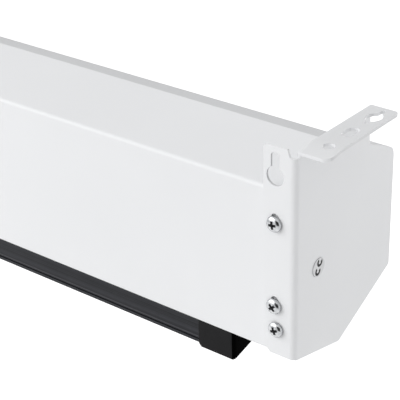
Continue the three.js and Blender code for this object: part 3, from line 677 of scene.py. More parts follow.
@dataclass
class Blank:
    """A mesh in the making, worked with bmesh operators, and the node that it replaces.

    Pieces are in millimetres until they are delivered, the studio's meshes in metres.
    """

    name: str
    node: str = ""
    mesh: bmesh.types.BMesh = field(default_factory=bmesh.new)

    @classmethod
    def of_node(cls, node: str, suffix: str) -> "Blank":
        """The shape of a node of the frame with its triangles merged into whole faces.

        Args:
            node: the node.
            suffix: what the piece's name has after the node's.

        Returns:
            The blank.
        """
        made = cls(f"{node}_{suffix}", node)
        mesh = made.mesh
        mesh.from_mesh(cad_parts[node].data)
        made.resize(1 / MM)
        bmesh.ops.remove_doubles(mesh, verts=mesh.verts[:], dist=NODE_WELD)
        bmesh.ops.dissolve_limit(
            mesh, angle_limit=math.radians(FLAT), verts=mesh.verts[:], edges=mesh.edges[:]
        )
        return made

    def copy(self, node: str, suffix: str) -> "Blank":
        """The same blank for a node."""
        return Blank(f"{node}_{suffix}", node, self.mesh.copy())

    def resize(self, factor: float) -> None:
        """Scales the whole blank about the frame's origin."""
        bmesh.ops.scale(self.mesh, vec=(factor,) * 3, verts=self.mesh.verts[:])

    def shift(self, step: Sequence[float]) -> None:
        """Moves the whole blank."""
        bmesh.ops.translate(self.mesh, verts=self.mesh.verts[:], vec=step)

    def turn(self, turn: Matrix) -> None:
        """Turns the whole blank about the frame's origin."""
        bmesh.ops.rotate(self.mesh, cent=(0, 0, 0), matrix=turn, verts=self.mesh.verts[:])

    def points(self, places: Iterable[Sequence[float]]) -> list[Vert]:
        """New vertices at those places."""
        return [self.mesh.verts.new(place) for place in places]

    def row(self, verts: Sequence[Vert]) -> list[Edge]:
        """New edges from each vertex to the next."""
        return [self.mesh.edges.new(pair) for pair in zip(verts, verts[1:])]

    def pull(self, edges: Sequence[Edge], step: Sequence[float]) -> list[Edge]:
        """Extrudes edges into faces.

        Args:
            edges: the edges.
            step: how far they move.

        Returns:
            The moved edges.
        """
        grown = bmesh.ops.extrude_edge_only(self.mesh, edges=edges)["geom"]
        bmesh.ops.translate(self.mesh, verts=only(Vert, grown), vec=step)
        return only(Edge, grown)

    def ribbon(self, path: Iterable[Pair], half: float) -> list[Vert]:
        """Pulls a path out along X into a sheet.

        Args:
            path: places as depth and height.
            half: half of the sheet's length, which lies evenly about the middle.

        Returns:
            The vertices of the path at the sheet's left end.
        """
        verts = self.points((-half, y, z) for y, z in path)
        self.pull(self.row(verts), (2 * half, 0, 0))
        return verts

    def prism(self, outlines: Sequence[Outline], middle: float, half: float) -> None:
        """Fills an outline but for its holes and pulls it out along X into a solid.

        Args:
            outlines: the corners as depth and height, the holes' after the outer ones.
            middle: depth from which the corners' depths count.
            half: half of the solid's length.
        """
        edges: list[Edge] = []
        for outline in outlines:
            verts = self.points((-half, middle + y, z) for y, z in outline)
            edges += self.row(verts + verts[:1])
        filled = bmesh.ops.triangle_fill(self.mesh, use_beauty=True, edges=edges)["geom"]
        faces = only(Face, filled)
        grown = bmesh.ops.extrude_face_region(self.mesh, geom=faces, use_keep_orig=True)["geom"]
        bmesh.ops.translate(self.mesh, verts=only(Vert, grown), vec=(2 * half, 0, 0))

    def lathe(self, profile: Outline, axis: Axis, centre: Vector, steps: int) -> None:
        """Spins a profile about an axis.

        Args:
            profile: pairs of radius and place along the axis.
            axis: the axis.
            centre: a point on the axis, from which lengths count.
            steps: facets in a full turn.
        """
        verts = self.points(centre + Axis.Y.vector * out + axis.vector * along for out, along in profile)
        bmesh.ops.spin(
            self.mesh,
            geom=verts + self.row(verts),
            cent=centre,
            axis=axis.vector,
            angle=2 * math.pi,
            steps=steps,
            use_merge=True,
        )
        self.clean()

    def clean(self) -> None:
        """Merges doubles and turns the faces outwards."""
        bmesh.ops.remove_doubles(self.mesh, verts=self.mesh.verts[:], dist=WELD)
        bmesh.ops.recalc_face_normals(self.mesh, faces=self.mesh.faces[:])

    def look(self, face: Face, way: int) -> None:
        """Reverses all faces where the given one doesn't look along Y that way, 1 or -1."""
        if face.normal.y * way < 0:
            bmesh.ops.reverse_faces(self.mesh, faces=self.mesh.faces[:])

    def sharp(self, least: float) -> list[Edge]:
        """Edges that turn by more than an angle in degrees."""
        limit = math.radians(least)
        return [edge for edge in self.mesh.edges if edge.is_manifold and edge.calc_face_angle(0.0) > limit]

    def ease(self, edges: Iterable[Edge], width: float, segments: int) -> list[Face]:
        """Rounds edges.

        Args:
            edges: the edges.
            width: how far from each edge the rounding starts.
            segments: facets across it.

        Returns:
            The new faces.
        """
        return bmesh.ops.bevel(
            self.mesh,
            geom=list(edges),
            offset=width,
            offset_type="OFFSET",
            segments=segments,
            profile=0.5,
            affect="EDGES",
            clamp_overlap=True,
            material=-1,
        )["faces"]

    def to_object(self, materials: Iterable[bpy.types.Material]) -> bpy.types.Object:
        """Turns the blank into an object.

        Args:
            materials: its materials, in the order of the faces' numbers.

        Returns:
            The object.
        """
        data = bpy.data.meshes.new(self.name)
        self.mesh.to_mesh(data)
        self.mesh.free()
        for material in materials:
            data.materials.append(material)
        made = bpy.data.objects.new(self.name, data)
        bpy.context.scene.collection.objects.link(made)
        return made

    def deliver(self, body: Optional[Body], *finishes: Finish) -> bpy.types.Object:
        """Turns the blank into a finished piece in metres that stands for its node.

        Args:
            body: what the piece rides on, or None where it rides on none.
            finishes: its finishes, in the order of the faces' material numbers.

        Returns:
            The object.
        """
        self.resize(MM)
        limit = math.radians(CREASE)
        for face in self.mesh.faces:
            face.smooth = True
        for edge in self.mesh.edges:
            edge.smooth = not edge.is_manifold or edge.calc_face_angle(0.0) < limit
        made = self.to_object(finish.make() for finish in finishes)
        if body is not None:
            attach(made, body.value)
        if self.node:
            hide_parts(self.node)
        LOG.info("piece %s: %d faces", self.name, len(made.data.polygons))
        return made


def soften(piece: bpy.types.Object, width: float, segments: int = 2, angle: float = CREASE) -> None:
    """Rounds a piece's sharp edges with a live bevel and evens its shading.

    Args:
        piece: the object.
        width: the bevel in millimetres.
        segments: facets across the bevel.
        angle: edges that turn by more than this, in degrees, are rounded.
    """
    bevel = piece.modifiers.new("eased_edges", "BEVEL")
    bevel.width = width * MM
    bevel.segments = segments
    bevel.limit_method = "ANGLE"
    bevel.angle_limit = math.radians(angle)
    bevel.harden_normals = False
    even(piece)


def even(piece: bpy.types.Object) -> None:
    """Gives the large flat faces of a piece their own normals.

    Args:
        piece: the object.
    """
    weighted = piece.modifiers.new("even_shading", "WEIGHTED_NORMAL")
    weighted.keep_sharp = True
    weighted.weight = 100


def thicken(piece: bpy.types.Object, thickness: float, inner_finish: int = 0, offset: float = -1.0) -> None:
    """Gives a sheet its thickness.

    Args:
        piece: the object.
        thickness: in millimetres.
        inner_finish: number of the finish on the inner side, counted from the outer one.
        offset: -1 grows inwards, 0 both ways.
    """
    solid = piece.modifiers.new("sheet_thickness", "SOLIDIFY")
    solid.thickness = thickness * MM
    solid.offset = offset
    solid.use_even_offset = True
    solid.material_offset = inner_finish
    solid.material_offset_rim = inner_finish


@dataclass
class CaseShell:
    """The long case, bent from one sheet round a slot for the cloth.

    Attributes:
        bend: radius of the bends.
        least_bend: degrees past which an edge is a bend.
        facets: radians past which a bend is tight, and the facets of a wide and of a tight one.
        slope: least Y and Z of the normal of the sloped top edge, which gets painted shade in the greyer
            coat.
    """

    half_length: float = 836.3
    sheet: float = 0.8
    easing: float = 0.16
    bend: float = 1.8
    least_bend: float = 5.0
    facets: tuple[float, int, int] = (1.0, 4, 8)
    slope: Pair = (0.3, 0.9)
    depth: float = 83.2
    flat_top: float = 59.0
    top: float = 46.2
    foot: float = -43.8
    front_drop: float = 8.8
    front_rise: float = 15.6
    belly_drop: float = 7.9
    slot: float = 11.0
    slot_middle: float = 35.238
    lip: float = 6.0

    def path(self) -> list[Pair]:
        """The sheet's outer face seen from the end, from one lip of the slot round to the other.

        Returns:
            Places as depth and height.
        """
        half = self.slot / 2
        belly = self.foot - self.belly_drop
        back_rise = half * self.belly_drop / self.slot_middle
        front_rise = half * (self.belly_drop + self.front_rise) / (self.depth - self.slot_middle)
        return [
            (self.slot_middle + half, belly + front_rise + self.lip),
            (self.slot_middle + half, belly + front_rise),
            (self.depth, self.foot + self.front_rise),
            (self.depth, self.top - self.front_drop),
            (self.flat_top, self.top),
            (0.0, self.top),
            (0.0, self.foot),
            (self.slot_middle - half, belly + back_rise),
            (self.slot_middle - half, belly + back_rise + self.lip),
        ]

    def build(self) -> None:
        """Pulls out the path, rounds its bends, paints shade on the sloped edge and gives the sheet
        thickness.
        """
        blank = Blank("case_shell_sheet", "case_shell")
        blank.ribbon(self.path(), self.half_length)
        blank.clean()
        blank.look(min(blank.mesh.faces, key=lambda face: face.calc_center_median().y), -1)
        tight, few, many = self.facets
        for edge in blank.sharp(self.least_bend):
            turn = edge.calc_face_angle()
            blank.ease([edge], self.bend * math.tan(turn / 2), many if turn > tight else few)
        # Painted shade: the sloped top edge gets the greyer coat.
        for face in blank.mesh.faces:
            if face.normal.y > self.slope[0] and face.normal.z > self.slope[1]:
                face.material_index = 1
        piece = blank.deliver(Body.HOUSING, PowderCoat(), GreyCoat())
        thicken(piece, self.sheet)
        soften(piece, self.easing)


@dataclass
class EndPlate:
    """End plate with its flange, wrap, tab and ceiling strip, cut edges slightly rounded.

    The places are those of the right end.

    Attributes:
        strip_reach: X and Z past which the strip and its bend lie.
        strip_foot: X past which the strip's underside lies, and the most Z that it has.
        strip_band: height below that in which the underside's corners lie.
        near_corner: X and Y of the strip's outer near corner, and its radius.
        keyhole: X and Y of the strip's keyhole.
        keyhole_reach: how far the keyhole's corners lie from that, across and along.
        keyhole_oval: half width and half length of its round part as it is drawn.
        keyhole_slit: half width of its narrow ends as they are drawn.
        slit: half width of the node's narrow ends, and the same with a margin.
        round_reach: how far the node's round part reaches along the strip.
        punched: regions of punched holes and notches, as two corners.
        shaded: how far a wall there has to face outwards and up to get painted shade in the darker coat.
    """

    end: End
    easing: float = 0.3
    sheet: float = 1.2
    strip_sheet: float = 1.6
    strip_reach: Pair = (838.2, 67.0)
    strip_foot: Pair = (839.4, 69.2)
    strip_band: float = 1.3
    droop: float = 2.0
    droop_from: float = 1.2
    droop_length: float = 14.0
    droop_steps: int = 8
    near_corner: Place = (855.5, 1.2, 4.6)
    keyhole: Pair = (848.7, 49.5)
    keyhole_reach: Pair = (3.8, 9.4)
    keyhole_oval: Pair = (3.9, 5.7)
    keyhole_slit: float = 1.0
    slit: Pair = (1.8, 1.9)
    round_reach: float = 3.2
    punched: tuple[tuple[Place, Place], ...] = (
        ((822.0, -1.5, 48.0), (833.0, -0.1, 66.5)),
        ((825.0, -1.5, -32.0), (831.6, -0.1, 34.5)),
        ((831.0, -1.5, 64.8), (834.8, -0.1, 68.9)),
    )
    shaded: float = 0.2
    blank: Blank = field(init=False)

    def __post_init__(self) -> None:
        """Takes the node's shape."""
        self.blank = Blank.of_node(f"end_plate_{self.end.word}", "sheet")

    def build(self) -> None:
        """Forms the strip, rounds the plate's edges and coats it, with painted shade on the walls of punched
        holes and on the strip.
        """
        self.form_strip()
        for face in self.blank.mesh.faces:
            # Painted shade: walls of punched holes and notches that face outwards or up get the darker coat.
            if any(self.is_wall(face, *hole) for hole in self.punched):
                face.material_index = 1
            # Painted shade: the strip's faces, all but those that face the wall, get the greyer coat.
            elif self.on_strip(face.calc_center_median()) and face.normal.y > -ALONG:
                face.material_index = 2
        piece = self.blank.deliver(Body.HOUSING, PowderCoat(), ThinCoat(), GreyCoat())
        soften(piece, self.easing, segments=3)

    def on_strip(self, place: Vector) -> bool:
        """Whether a place lies on the ceiling strip or its bend."""
        x, z = self.strip_reach
        return place.x * self.end.value > x and place.z > z

    def form_strip(self) -> None:
        """Thickens the strip from below, draws its keyhole and near corner and lets that end droop."""
        mesh = self.blank.mesh
        x, z = self.strip_foot
        under = [v for v in mesh.verts if v.co.x * self.end.value > x and z - self.strip_band < v.co.z < z]
        bmesh.ops.translate(mesh, verts=under, vec=(0, 0, self.sheet - self.strip_sheet))
        self.shape_keyhole()
        for step in range(1, self.droop_steps + 1):
            self.cut_strip(Axis.Y.vector, self.droop_from + self.droop_length * step / self.droop_steps)
        self.cut_strip(Axis.X.vector, (self.near_corner[0] - self.near_corner[2]) * self.end.value)
        self.round_corner()
        for vert in mesh.verts:
            share = 1 - (vert.co.y - self.droop_from) / self.droop_length
            if self.on_strip(vert.co) and share > 0:
                vert.co.z -= self.droop * share**2

    def cut_strip(self, across: Vector, place: float) -> None:
        """Cuts the strip's faces along a plane, so that they can bend there.

        Args:
            across: the plane's normal.
            place: how far the plane lies from the origin.
        """
        mesh = self.blank.mesh
        faces = [face for face in mesh.faces if any(self.on_strip(v.co) for v in face.verts)]
        edges = {edge for face in faces for edge in face.edges}
        verts = {vert for face in faces for vert in face.verts}
        bmesh.ops.bisect_plane(
            mesh,
            geom=[*verts, *edges, *faces],
            dist=CUT_MARGIN,
            plane_co=across * place,
            plane_no=across,
        )

    def shape_keyhole(self) -> None:
        """Makes the keyhole an oval between two narrow slits, as it is seen in the photograph."""
        middle = Vector((self.keyhole[0] * self.end.value, self.keyhole[1]))
        wide, long = self.keyhole_oval
        foot = long * math.sqrt(1 - (self.keyhole_slit / wide) ** 2)
        half, reached = self.slit
        for vert in self.blank.mesh.verts:
            out = vert.co.xy - middle
            aside, reach = abs(out.x), abs(out.y)
            if not self.on_strip(vert.co) or aside > self.keyhole_reach[0] or reach > self.keyhole_reach[1]:
                continue
            if aside < reached and reach > self.round_reach:
                out.x *= self.keyhole_slit / half
                out.y = math.copysign(max(foot, reach), out.y)
            else:
                out.x *= wide / out.length
                out.y *= long / out.length
            vert.co.xy = middle + out

    def round_corner(self) -> None:
        """Draws the strip's outer near corner in to its radius."""
        side, near, radius = self.near_corner
        middle = Vector(((side - radius) * self.end.value, near + radius))
        for vert in self.blank.mesh.verts:
            out = vert.co.xy - middle
            outside = out.x * self.end.value > 0 > out.y and out.length > radius
            if self.on_strip(vert.co) and outside:
                vert.co.xy = middle + out * (radius / out.length)

    def is_wall(self, face: Face, low: Place, high: Place) -> bool:
        """Whether a face stands in a punched region of the sheet.

        Args:
            face: the face.
            low: the region's lowest corner, at the right end.
            high: its highest corner.

        Returns:
            True for a wall of a hole or notch that faces outwards or up, which gets painted shade.
        """
        centre = face.calc_center_median()
        centre.x *= self.end.value
        inside = all(a <= b <= c for a, b, c in zip(low, centre, high))
        shaded = face.normal.x * self.end.value + face.normal.z > self.shaded
        return inside and shaded and abs(face.normal.y) < ALONG


@dataclass
class PanScrew:
    """Cross recessed pan head screw.

    Attributes:
        under: chamfer below the head's rim, which carries a painted shadow line.
        rim: share of the head's height up to which its side is straight.
        crown: power that flattens the head's crown.
        recess: width of the cross over two blades.
        point: share of the blade's size that is left at its point.
    """

    head: float = 8.2
    height: float = 2.5
    under: float = 0.28
    rim: float = 0.28
    crown: float = 0.78
    crown_steps: int = 8
    shank: float = 4.0
    length: float = 8.0
    pitch: float = 1.4
    thread: float = 0.35
    recess: float = 6.2
    blade: float = 2.0
    point: float = 0.3
    depth: float = 2.1
    steps: int = 48

    def profile(self) -> list[Pair]:
        """Radius and height from the screw's point to the crown of its head.

        Returns:
            The profile to spin.
        """
        radius, core = self.head / 2, self.shank / 2 - self.thread
        points = [(0.0, -self.length), (core / 2, -self.length)]
        along = self.shank / 2 - self.length
        while along < -self.pitch:
            points += [(core, along), (core + self.thread, along + self.pitch / 2)]
            along += self.pitch
        start = self.height * self.rim
        points += [(core, -self.pitch / 2), (core, 0.0), (radius - self.under, 0.0), (radius, self.under)]
        points.append((radius, start))
        for step in range(1, self.crown_steps):
            angle = step / self.crown_steps * math.pi / 2
            rise = (self.height - start) * math.sin(angle)
            points.append((radius * math.cos(angle) ** self.crown, start + rise))
        return [*points, (0.0, self.height)]

    def cutter(self) -> bpy.types.Object:
        """Two crossed tapered blades and a point between them.

        Returns:
            The object that cuts the recess.
        """
        blank = Blank("recess_cutter")
        mesh = blank.mesh
        half = math.sqrt(0.5)
        size = Matrix.Diagonal((self.recess, self.blade, 2 * self.depth)) @ quarter(Axis.Z, 0.5)
        for turns in (0, 1):
            place = Matrix.Translation((0, 0, self.height)) @ (quarter(Axis.Z, turns) @ size).to_4x4()
            bmesh.ops.create_cone(
                mesh, cap_ends=True, segments=4, radius1=self.point, radius2=half, depth=1.0, matrix=place
            )
        # Painted shade: the recess that the cutter leaves gets the darkened zinc.
        for face in mesh.faces:
            face.material_index = 1
        return blank.deliver(None, ZincPlate(), RecessZinc())

    def build(self) -> Blank:
        """The screw along +Z, with its seat at the origin, as a blank to copy.

        Returns:
            The blank.
        """
        blank = Blank("pan_screw")
        blank.lathe(self.profile(), Axis.Z, Vector(), self.steps)
        body = blank.deliver(None, ZincPlate(), RecessZinc())
        cutter = self.cutter()
        cut = body.modifiers.new("cross_recess", "BOOLEAN")
        cut.operation, cut.solver, cut.object = "DIFFERENCE", "EXACT", cutter
        cut.use_self = True
        made = Blank("pan_screw_cut")
        made.mesh.from_object(body, bpy.context.evaluated_depsgraph_get())
        made.resize(1 / MM)
        # Painted shadow: the chamfer under the head's rim gets the darkened zinc.
        for face in made.mesh.faces:
            middle = face.calc_center_median()
            if 0 < middle.z < self.under and middle.xy.length > self.shank / 2 + self.under:
                face.material_index = 1
        for spent in (body, cutter):
            bpy.data.objects.remove(spent)
        return made


@dataclass
class Screws:
    """The screws of the end plates and of the handle's bracket, set from one blank."""

    screw: Blank
    plate_face: float = -1.7
    plate_places: tuple[tuple[str, float, float, float], ...] = (
        ("upper", 827.8, 28.9, 8.0),
        ("middle", 827.8, -16.2, 41.0),
        ("lower", 829.0, -29.1, 20.0),
    )
    bracket_place: Place = (23.0, 35.238, -83.5)
    bracket_turn: float = 33.0

    def build(self) -> None:
        """Sets three screws in each plate, heads to the wall, and two in the bracket, heads down."""
        for end in End:
            side = end.value
            for name, across, rise, turn in self.plate_places:
                place = (across * side, self.plate_face, rise)
                self.drive(f"plate_screw_{name}_{end.word}", Body.HOUSING, turn * side, 1, place)
            across, middle, seat = self.bracket_place
            node = f"bracket_screw_{end.word}"
            self.drive(node, Body.BAR, self.bracket_turn * side, 2, (across * side, middle, seat))

    def drive(self, node: str, body: Body, turn: float, tips: int, place: Place) -> None:
        """Sets one screw.

        Args:
            node: the node that it replaces.
            body: what it rides on.
            turn: how far its cross is turned, in degrees.
            tips: quarters by which it tips from +Z about X.
            place: its seat.
        """
        blank = self.screw.copy(node, "zinc")
        blank.turn(quarter(Axis.Z, turn / 90))
        blank.turn(quarter(Axis.X, tips))
        blank.shift(place)
        even(blank.deliver(body, ZincPlate(), RecessZinc()))


@dataclass
class AxleEnds:
    """The axles and their drive pins, with turned edges rounded and a closer fit than the solids'.

    Attributes:
        axis: Y and Z of the axles.
        head: X past which the head's rim lies, radius past which it lies, and its radius as it is drawn.
        swell: how far the pins' walls move outwards.
    """

    nodes: tuple[str, ...] = ("spring_axle", "idle_axle")
    easing: float = 0.12
    crease: float = 50.0
    axis: Pair = (18.2, 0.0)
    head: Place = (836.8, 4.65, 4.88)
    swell: float = 0.2

    def build(self) -> None:
        """Rounds the edges of the axles and the pins."""
        for node in self.nodes:
            blank = Blank.of_node(node, "turned")
            self.widen_head(blank)
            soften(blank.deliver(Body.HOUSING, DullZinc()), self.easing, angle=self.crease)
        for end in End:
            for level in ("upper", "lower"):
                blank = Blank.of_node(f"drive_pin_{level}_{end.word}", "drawn")
                self.swell_walls(blank)
                soften(blank.deliver(Body.HOUSING, BlackSteel()), self.easing / 2, angle=self.crease)

    def widen_head(self, blank: Blank) -> None:
        """Brings the rim of an axle's head nearer to its hole in the end plate.

        Args:
            blank: the axle.
        """
        start, least, radius = self.head
        middle = Vector(self.axis)
        for vert in blank.mesh.verts:
            out = vert.co.yz - middle
            if abs(vert.co.x) > start and least < out.length < radius:
                vert.co.yz = middle + out * (radius / out.length)

    def swell_walls(self, blank: Blank) -> None:
        """Moves a pin's walls outwards.

        Args:
            blank: the pin.
        """
        blank.mesh.normal_update()
        moves = {vert: Vector((0.0, *vert.normal.yz)) for vert in blank.mesh.verts}
        for vert, way in moves.items():
            vert.co += way.normalized() * self.swell


@dataclass
class WeightBar:
    """Charcoal extrusion with a hem channel on top and a groove near each lower edge.

    Attributes:
        groove: heights of the groove's lower and upper edge above the foot, and its depth.
        ridge: heights of the ridge's upper slope above the foot, and its depth.
        ridge_tilt: least and most Z of that slope's normal, where a highlight is painted on the ridge.
        cut: chamfer of the sawn ends.
        cut_angle: radians past which an edge of those is chamfered.
    """

    half_length: float = 758.3
    middle: float = 35.238
    top: float = -58.5
    foot: float = -78.9
    width: float = 19.4
    wall: float = 1.6
    groove: Place = (1.8, 2.7, 1.1)
    ridge: Place = (3.2, 3.9, 0.25)
    ridge_tilt: Pair = (0.1, 0.9)
    mouth: float = 3.0
    channel: float = 7.8
    channel_floor: float = -67.5
    cut: float = 0.9
    cut_angle: float = 0.9
    easing: float = 0.4
    crease: float = 50.0

    def outline(self) -> list[Pair]:
        """The section's corners, round from the lower right.

        Returns:
            Places as depth from the middle plane and height.
        """
        half, mouth = self.width / 2, self.mouth / 2
        low, high, deep = self.groove
        start, stop, step = self.ridge
        ceiling = self.top - self.wall
        right = [
            (half, self.foot),
            (half, self.foot + low),
            (half - deep, self.foot + low),
            (half - deep, self.foot + high),
            (half, self.foot + high),
            (half, self.foot + start),
            (half - step, self.foot + stop),
            (half - step, self.top),
            (mouth, self.top),
            (mouth, ceiling),
            (self.channel / 2, ceiling),
            (self.channel / 2, self.channel_floor),
        ]
        return right + [(-y, z) for y, z in reversed(right)]

    def build(self) -> None:
        """Extrudes the section with its chamber, rounds its long edges and paints a highlight on its ridges.
        """
        blank = Blank("weight_bar_extrusion", "weight_bar")
        inside = self.width / 2 - self.groove[2] - self.wall
        floor, ceiling = self.foot + self.wall, self.channel_floor - self.wall
        chamber = [(-inside, floor), (inside, floor), (inside, ceiling), (-inside, ceiling)]
        blank.prism([self.outline(), chamber], self.middle, self.half_length)
        blank.clean()
        ends = self.ends(blank)
        edges = {edge for face in ends for edge in face.edges if edge.calc_face_angle(0.0) > self.cut_angle}
        for face in [*blank.ease(edges, self.cut, 1), *self.ends(blank)]:
            face.material_index = 1
        start, stop, _ = self.ridge
        least, most = self.ridge_tilt
        # Painted highlight: the ridges' upward slopes get a paler charcoal.
        for face in blank.mesh.faces:
            level = face.calc_center_median().z - self.foot
            if start < level < stop and least < face.normal.z < most:
                face.material_index = 2
        piece = blank.deliver(Body.BAR, AnodizedBar(), RawCut(), RubbedEdge())
        soften(piece, self.easing, segments=3, angle=self.crease)

    @staticmethod
    def ends(blank: Blank) -> list[Face]:
        """The faces of the sawn ends."""
        return [face for face in blank.mesh.faces if abs(face.normal.x) > SQUARE]


@dataclass
class BarCaps:
    """Moulded caps over the bar's ends, whose outward faces are painted jet black as shade."""

    easing: float = 0.7
    crease: float = 40.0
    deep_from: float = 0.25

    def build(self) -> None:
        """Takes the nodes' shape and rounds it as a mould does."""
        for end in End:
            blank = Blank.of_node(f"bar_cap_{end.word}", "moulded")
            for face in blank.mesh.faces:
                # Painted shade: faces turned outwards get the jet black plastic.
                face.material_index = int(face.normal.x * end.value > self.deep_from)
            piece = blank.deliver(Body.BAR, MouldedPlastic(), DeepPlastic())
            soften(piece, self.easing, segments=3, angle=self.crease)


@dataclass
class BarStops:
    """Rubber buttons with a dished top on the bar, which meet the case's lips.

    Attributes:
        place: a button's foot, at the right end.
        shares: the profile from the foot to the dish, as shares of radius and height.
    """

    place: Place = (718.3, 30.538, -58.2)
    radius: float = 4.0
    height: float = 4.5
    shares: tuple[Pair, ...] = (
        (0.0, 0.0),
        (1.0, 0.0),
        (1.0, 0.45),
        (0.9, 0.62),
        (0.55, 0.97),
        (0.42, 1.0),
        (0.2, 0.93),
        (0.0, 0.92),
    )
    easing: float = 0.3
    crease: float = 60.0
    steps: int = 32

    def build(self) -> None:
        """Spins a button at each end."""
        profile = [(self.radius * out, self.height * up) for out, up in self.shares]
        across, depth, foot = self.place
        for end in End:
            node = f"bar_stop_{end.word}"
            blank = Blank(f"{node}_button", node)
            blank.lathe(profile, Axis.Z, Vector((across * end.value, depth, foot)), self.steps)
            blank.ease(blank.sharp(self.crease), self.easing, segments=3)
            even(blank.deliver(Body.BAR, StopRubber()))


@dataclass
class HandleMount:
    """Bracket under the bar and the handle's pin with its domed ends."""

    easing: float = 0.5
    axis: Place = (0.0, 35.238, -88.7)
    reach: float = 16.3
    radius: float = 2.0
    dome: float = 0.5
    steps: int = 32

    def build(self) -> None:
        """Rounds the bracket and turns the pin."""
        bracket = Blank.of_node("handle_bracket", "moulded")
        soften(bracket.deliver(Body.BAR, MouldedPlastic()), self.easing, segments=3)
        pin = Blank("handle_pin_turned", "handle_pin")
        side, flat = self.reach - self.dome, self.radius - self.dome
        half = [(self.radius, side), (flat, self.reach), (0.0, self.reach)]
        profile = [(out, -along) for out, along in reversed(half)] + half
        pin.lathe(profile, Axis.X, Vector(self.axis), self.steps)
        even(pin.deliver(Body.BAR, ZincPlate()))


@dataclass
class PullHandle:
    """Hinged loop handle, a round bar swept round a rectangle, with the tongue that holds its pin.

    Attributes:
        axis: the pin's middle, from which the handle's own places count.
        corner: radius of the loop's corners, along the bar's middle.
        drop: from the pin to the loop's top.
        web: thickness of the tongue at the loop, as a share of the knuckle's.
        weld: distance below which corners of the loop are one.
    """

    axis: Place = (0.0, 35.238, -88.7)
    pin: float = 4.6
    width: float = 66.0
    height: float = 40.0
    bar: float = 9.0
    corner: float = 5.5
    drop: float = 10.0
    tongue: float = 22.0
    knuckle: float = 4.5
    web: float = 0.8
    steps: int = 8
    facets: int = 16
    bore_facets: int = 24
    weld: float = 0.02
    easing: float = 0.6
    crease: float = 50.0

    def sweep(self, blank: Blank) -> None:
        """Sweeps the bar's section round the loop: straight, quarter turn, straight, and so on.

        Args:
            blank: the empty blank, whose origin is the pin's middle.
        """
        mesh = blank.mesh
        half_bar = self.bar / 2
        side = self.width / 2 - half_bar
        across = side - self.corner
        high = -self.drop - half_bar
        low = high - (self.height - self.bar)
        place = Matrix.Translation((0, 0, high)) @ quarter(Axis.Y).to_4x4()
        bmesh.ops.create_circle(mesh, segments=self.facets, radius=half_bar, matrix=place)
        edges = mesh.edges[:]
        corners = [
            ((across, high), (across, high - self.corner)),
            ((side, low + self.corner), (across, low + self.corner)),
            ((-across, low), (-across, low + self.corner)),
            ((-side, high - self.corner), (-across, high - self.corner)),
        ]
        first = here = Vector((0, 0, high))
        for (x, z), (middle, level) in corners:
            start, centre = Vector((x, 0, z)), Vector((middle, 0, level))
            edges = blank.pull(edges, start - here)
            spun = bmesh.ops.spin(
                mesh, geom=edges, cent=centre, axis=Axis.Y.vector, angle=math.pi / 2, steps=self.steps
            )
            edges = only(Edge, spun["geom_last"])
            here = centre + quarter(Axis.Y) @ (start - centre)
        blank.pull(edges, first - here)
        bmesh.ops.remove_doubles(mesh, verts=mesh.verts[:], dist=self.weld)

    def tongue_outlines(self) -> list[list[Pair]]:
        """The tongue seen from the side, a knuckle round the pin on a web, and its bore.

        Returns:
            The outer outline and the bore's, from the pin's middle.
        """
        foot = -self.drop - self.bar / 2
        web = self.knuckle * self.web
        outline = [*arc(self.knuckle, 0.0, math.pi, self.facets), (-web, foot), (web, foot)]
        return [outline, arc(self.pin / 2, 0.0, 2 * math.pi, self.bore_facets)[:-1]]

    def build(self) -> None:
        """Makes the loop and its tongue as one moulding."""
        blank = Blank("pull_handle_moulded", "pull_handle")
        self.sweep(blank)
        blank.prism(self.tongue_outlines(), 0.0, self.tongue / 2)
        blank.shift(self.axis)
        bmesh.ops.recalc_face_normals(blank.mesh, faces=blank.mesh.faces[:])
        piece = blank.deliver(Body.HANDLE, MouldedPlastic())
        soften(piece, self.easing, segments=3, angle=self.crease)


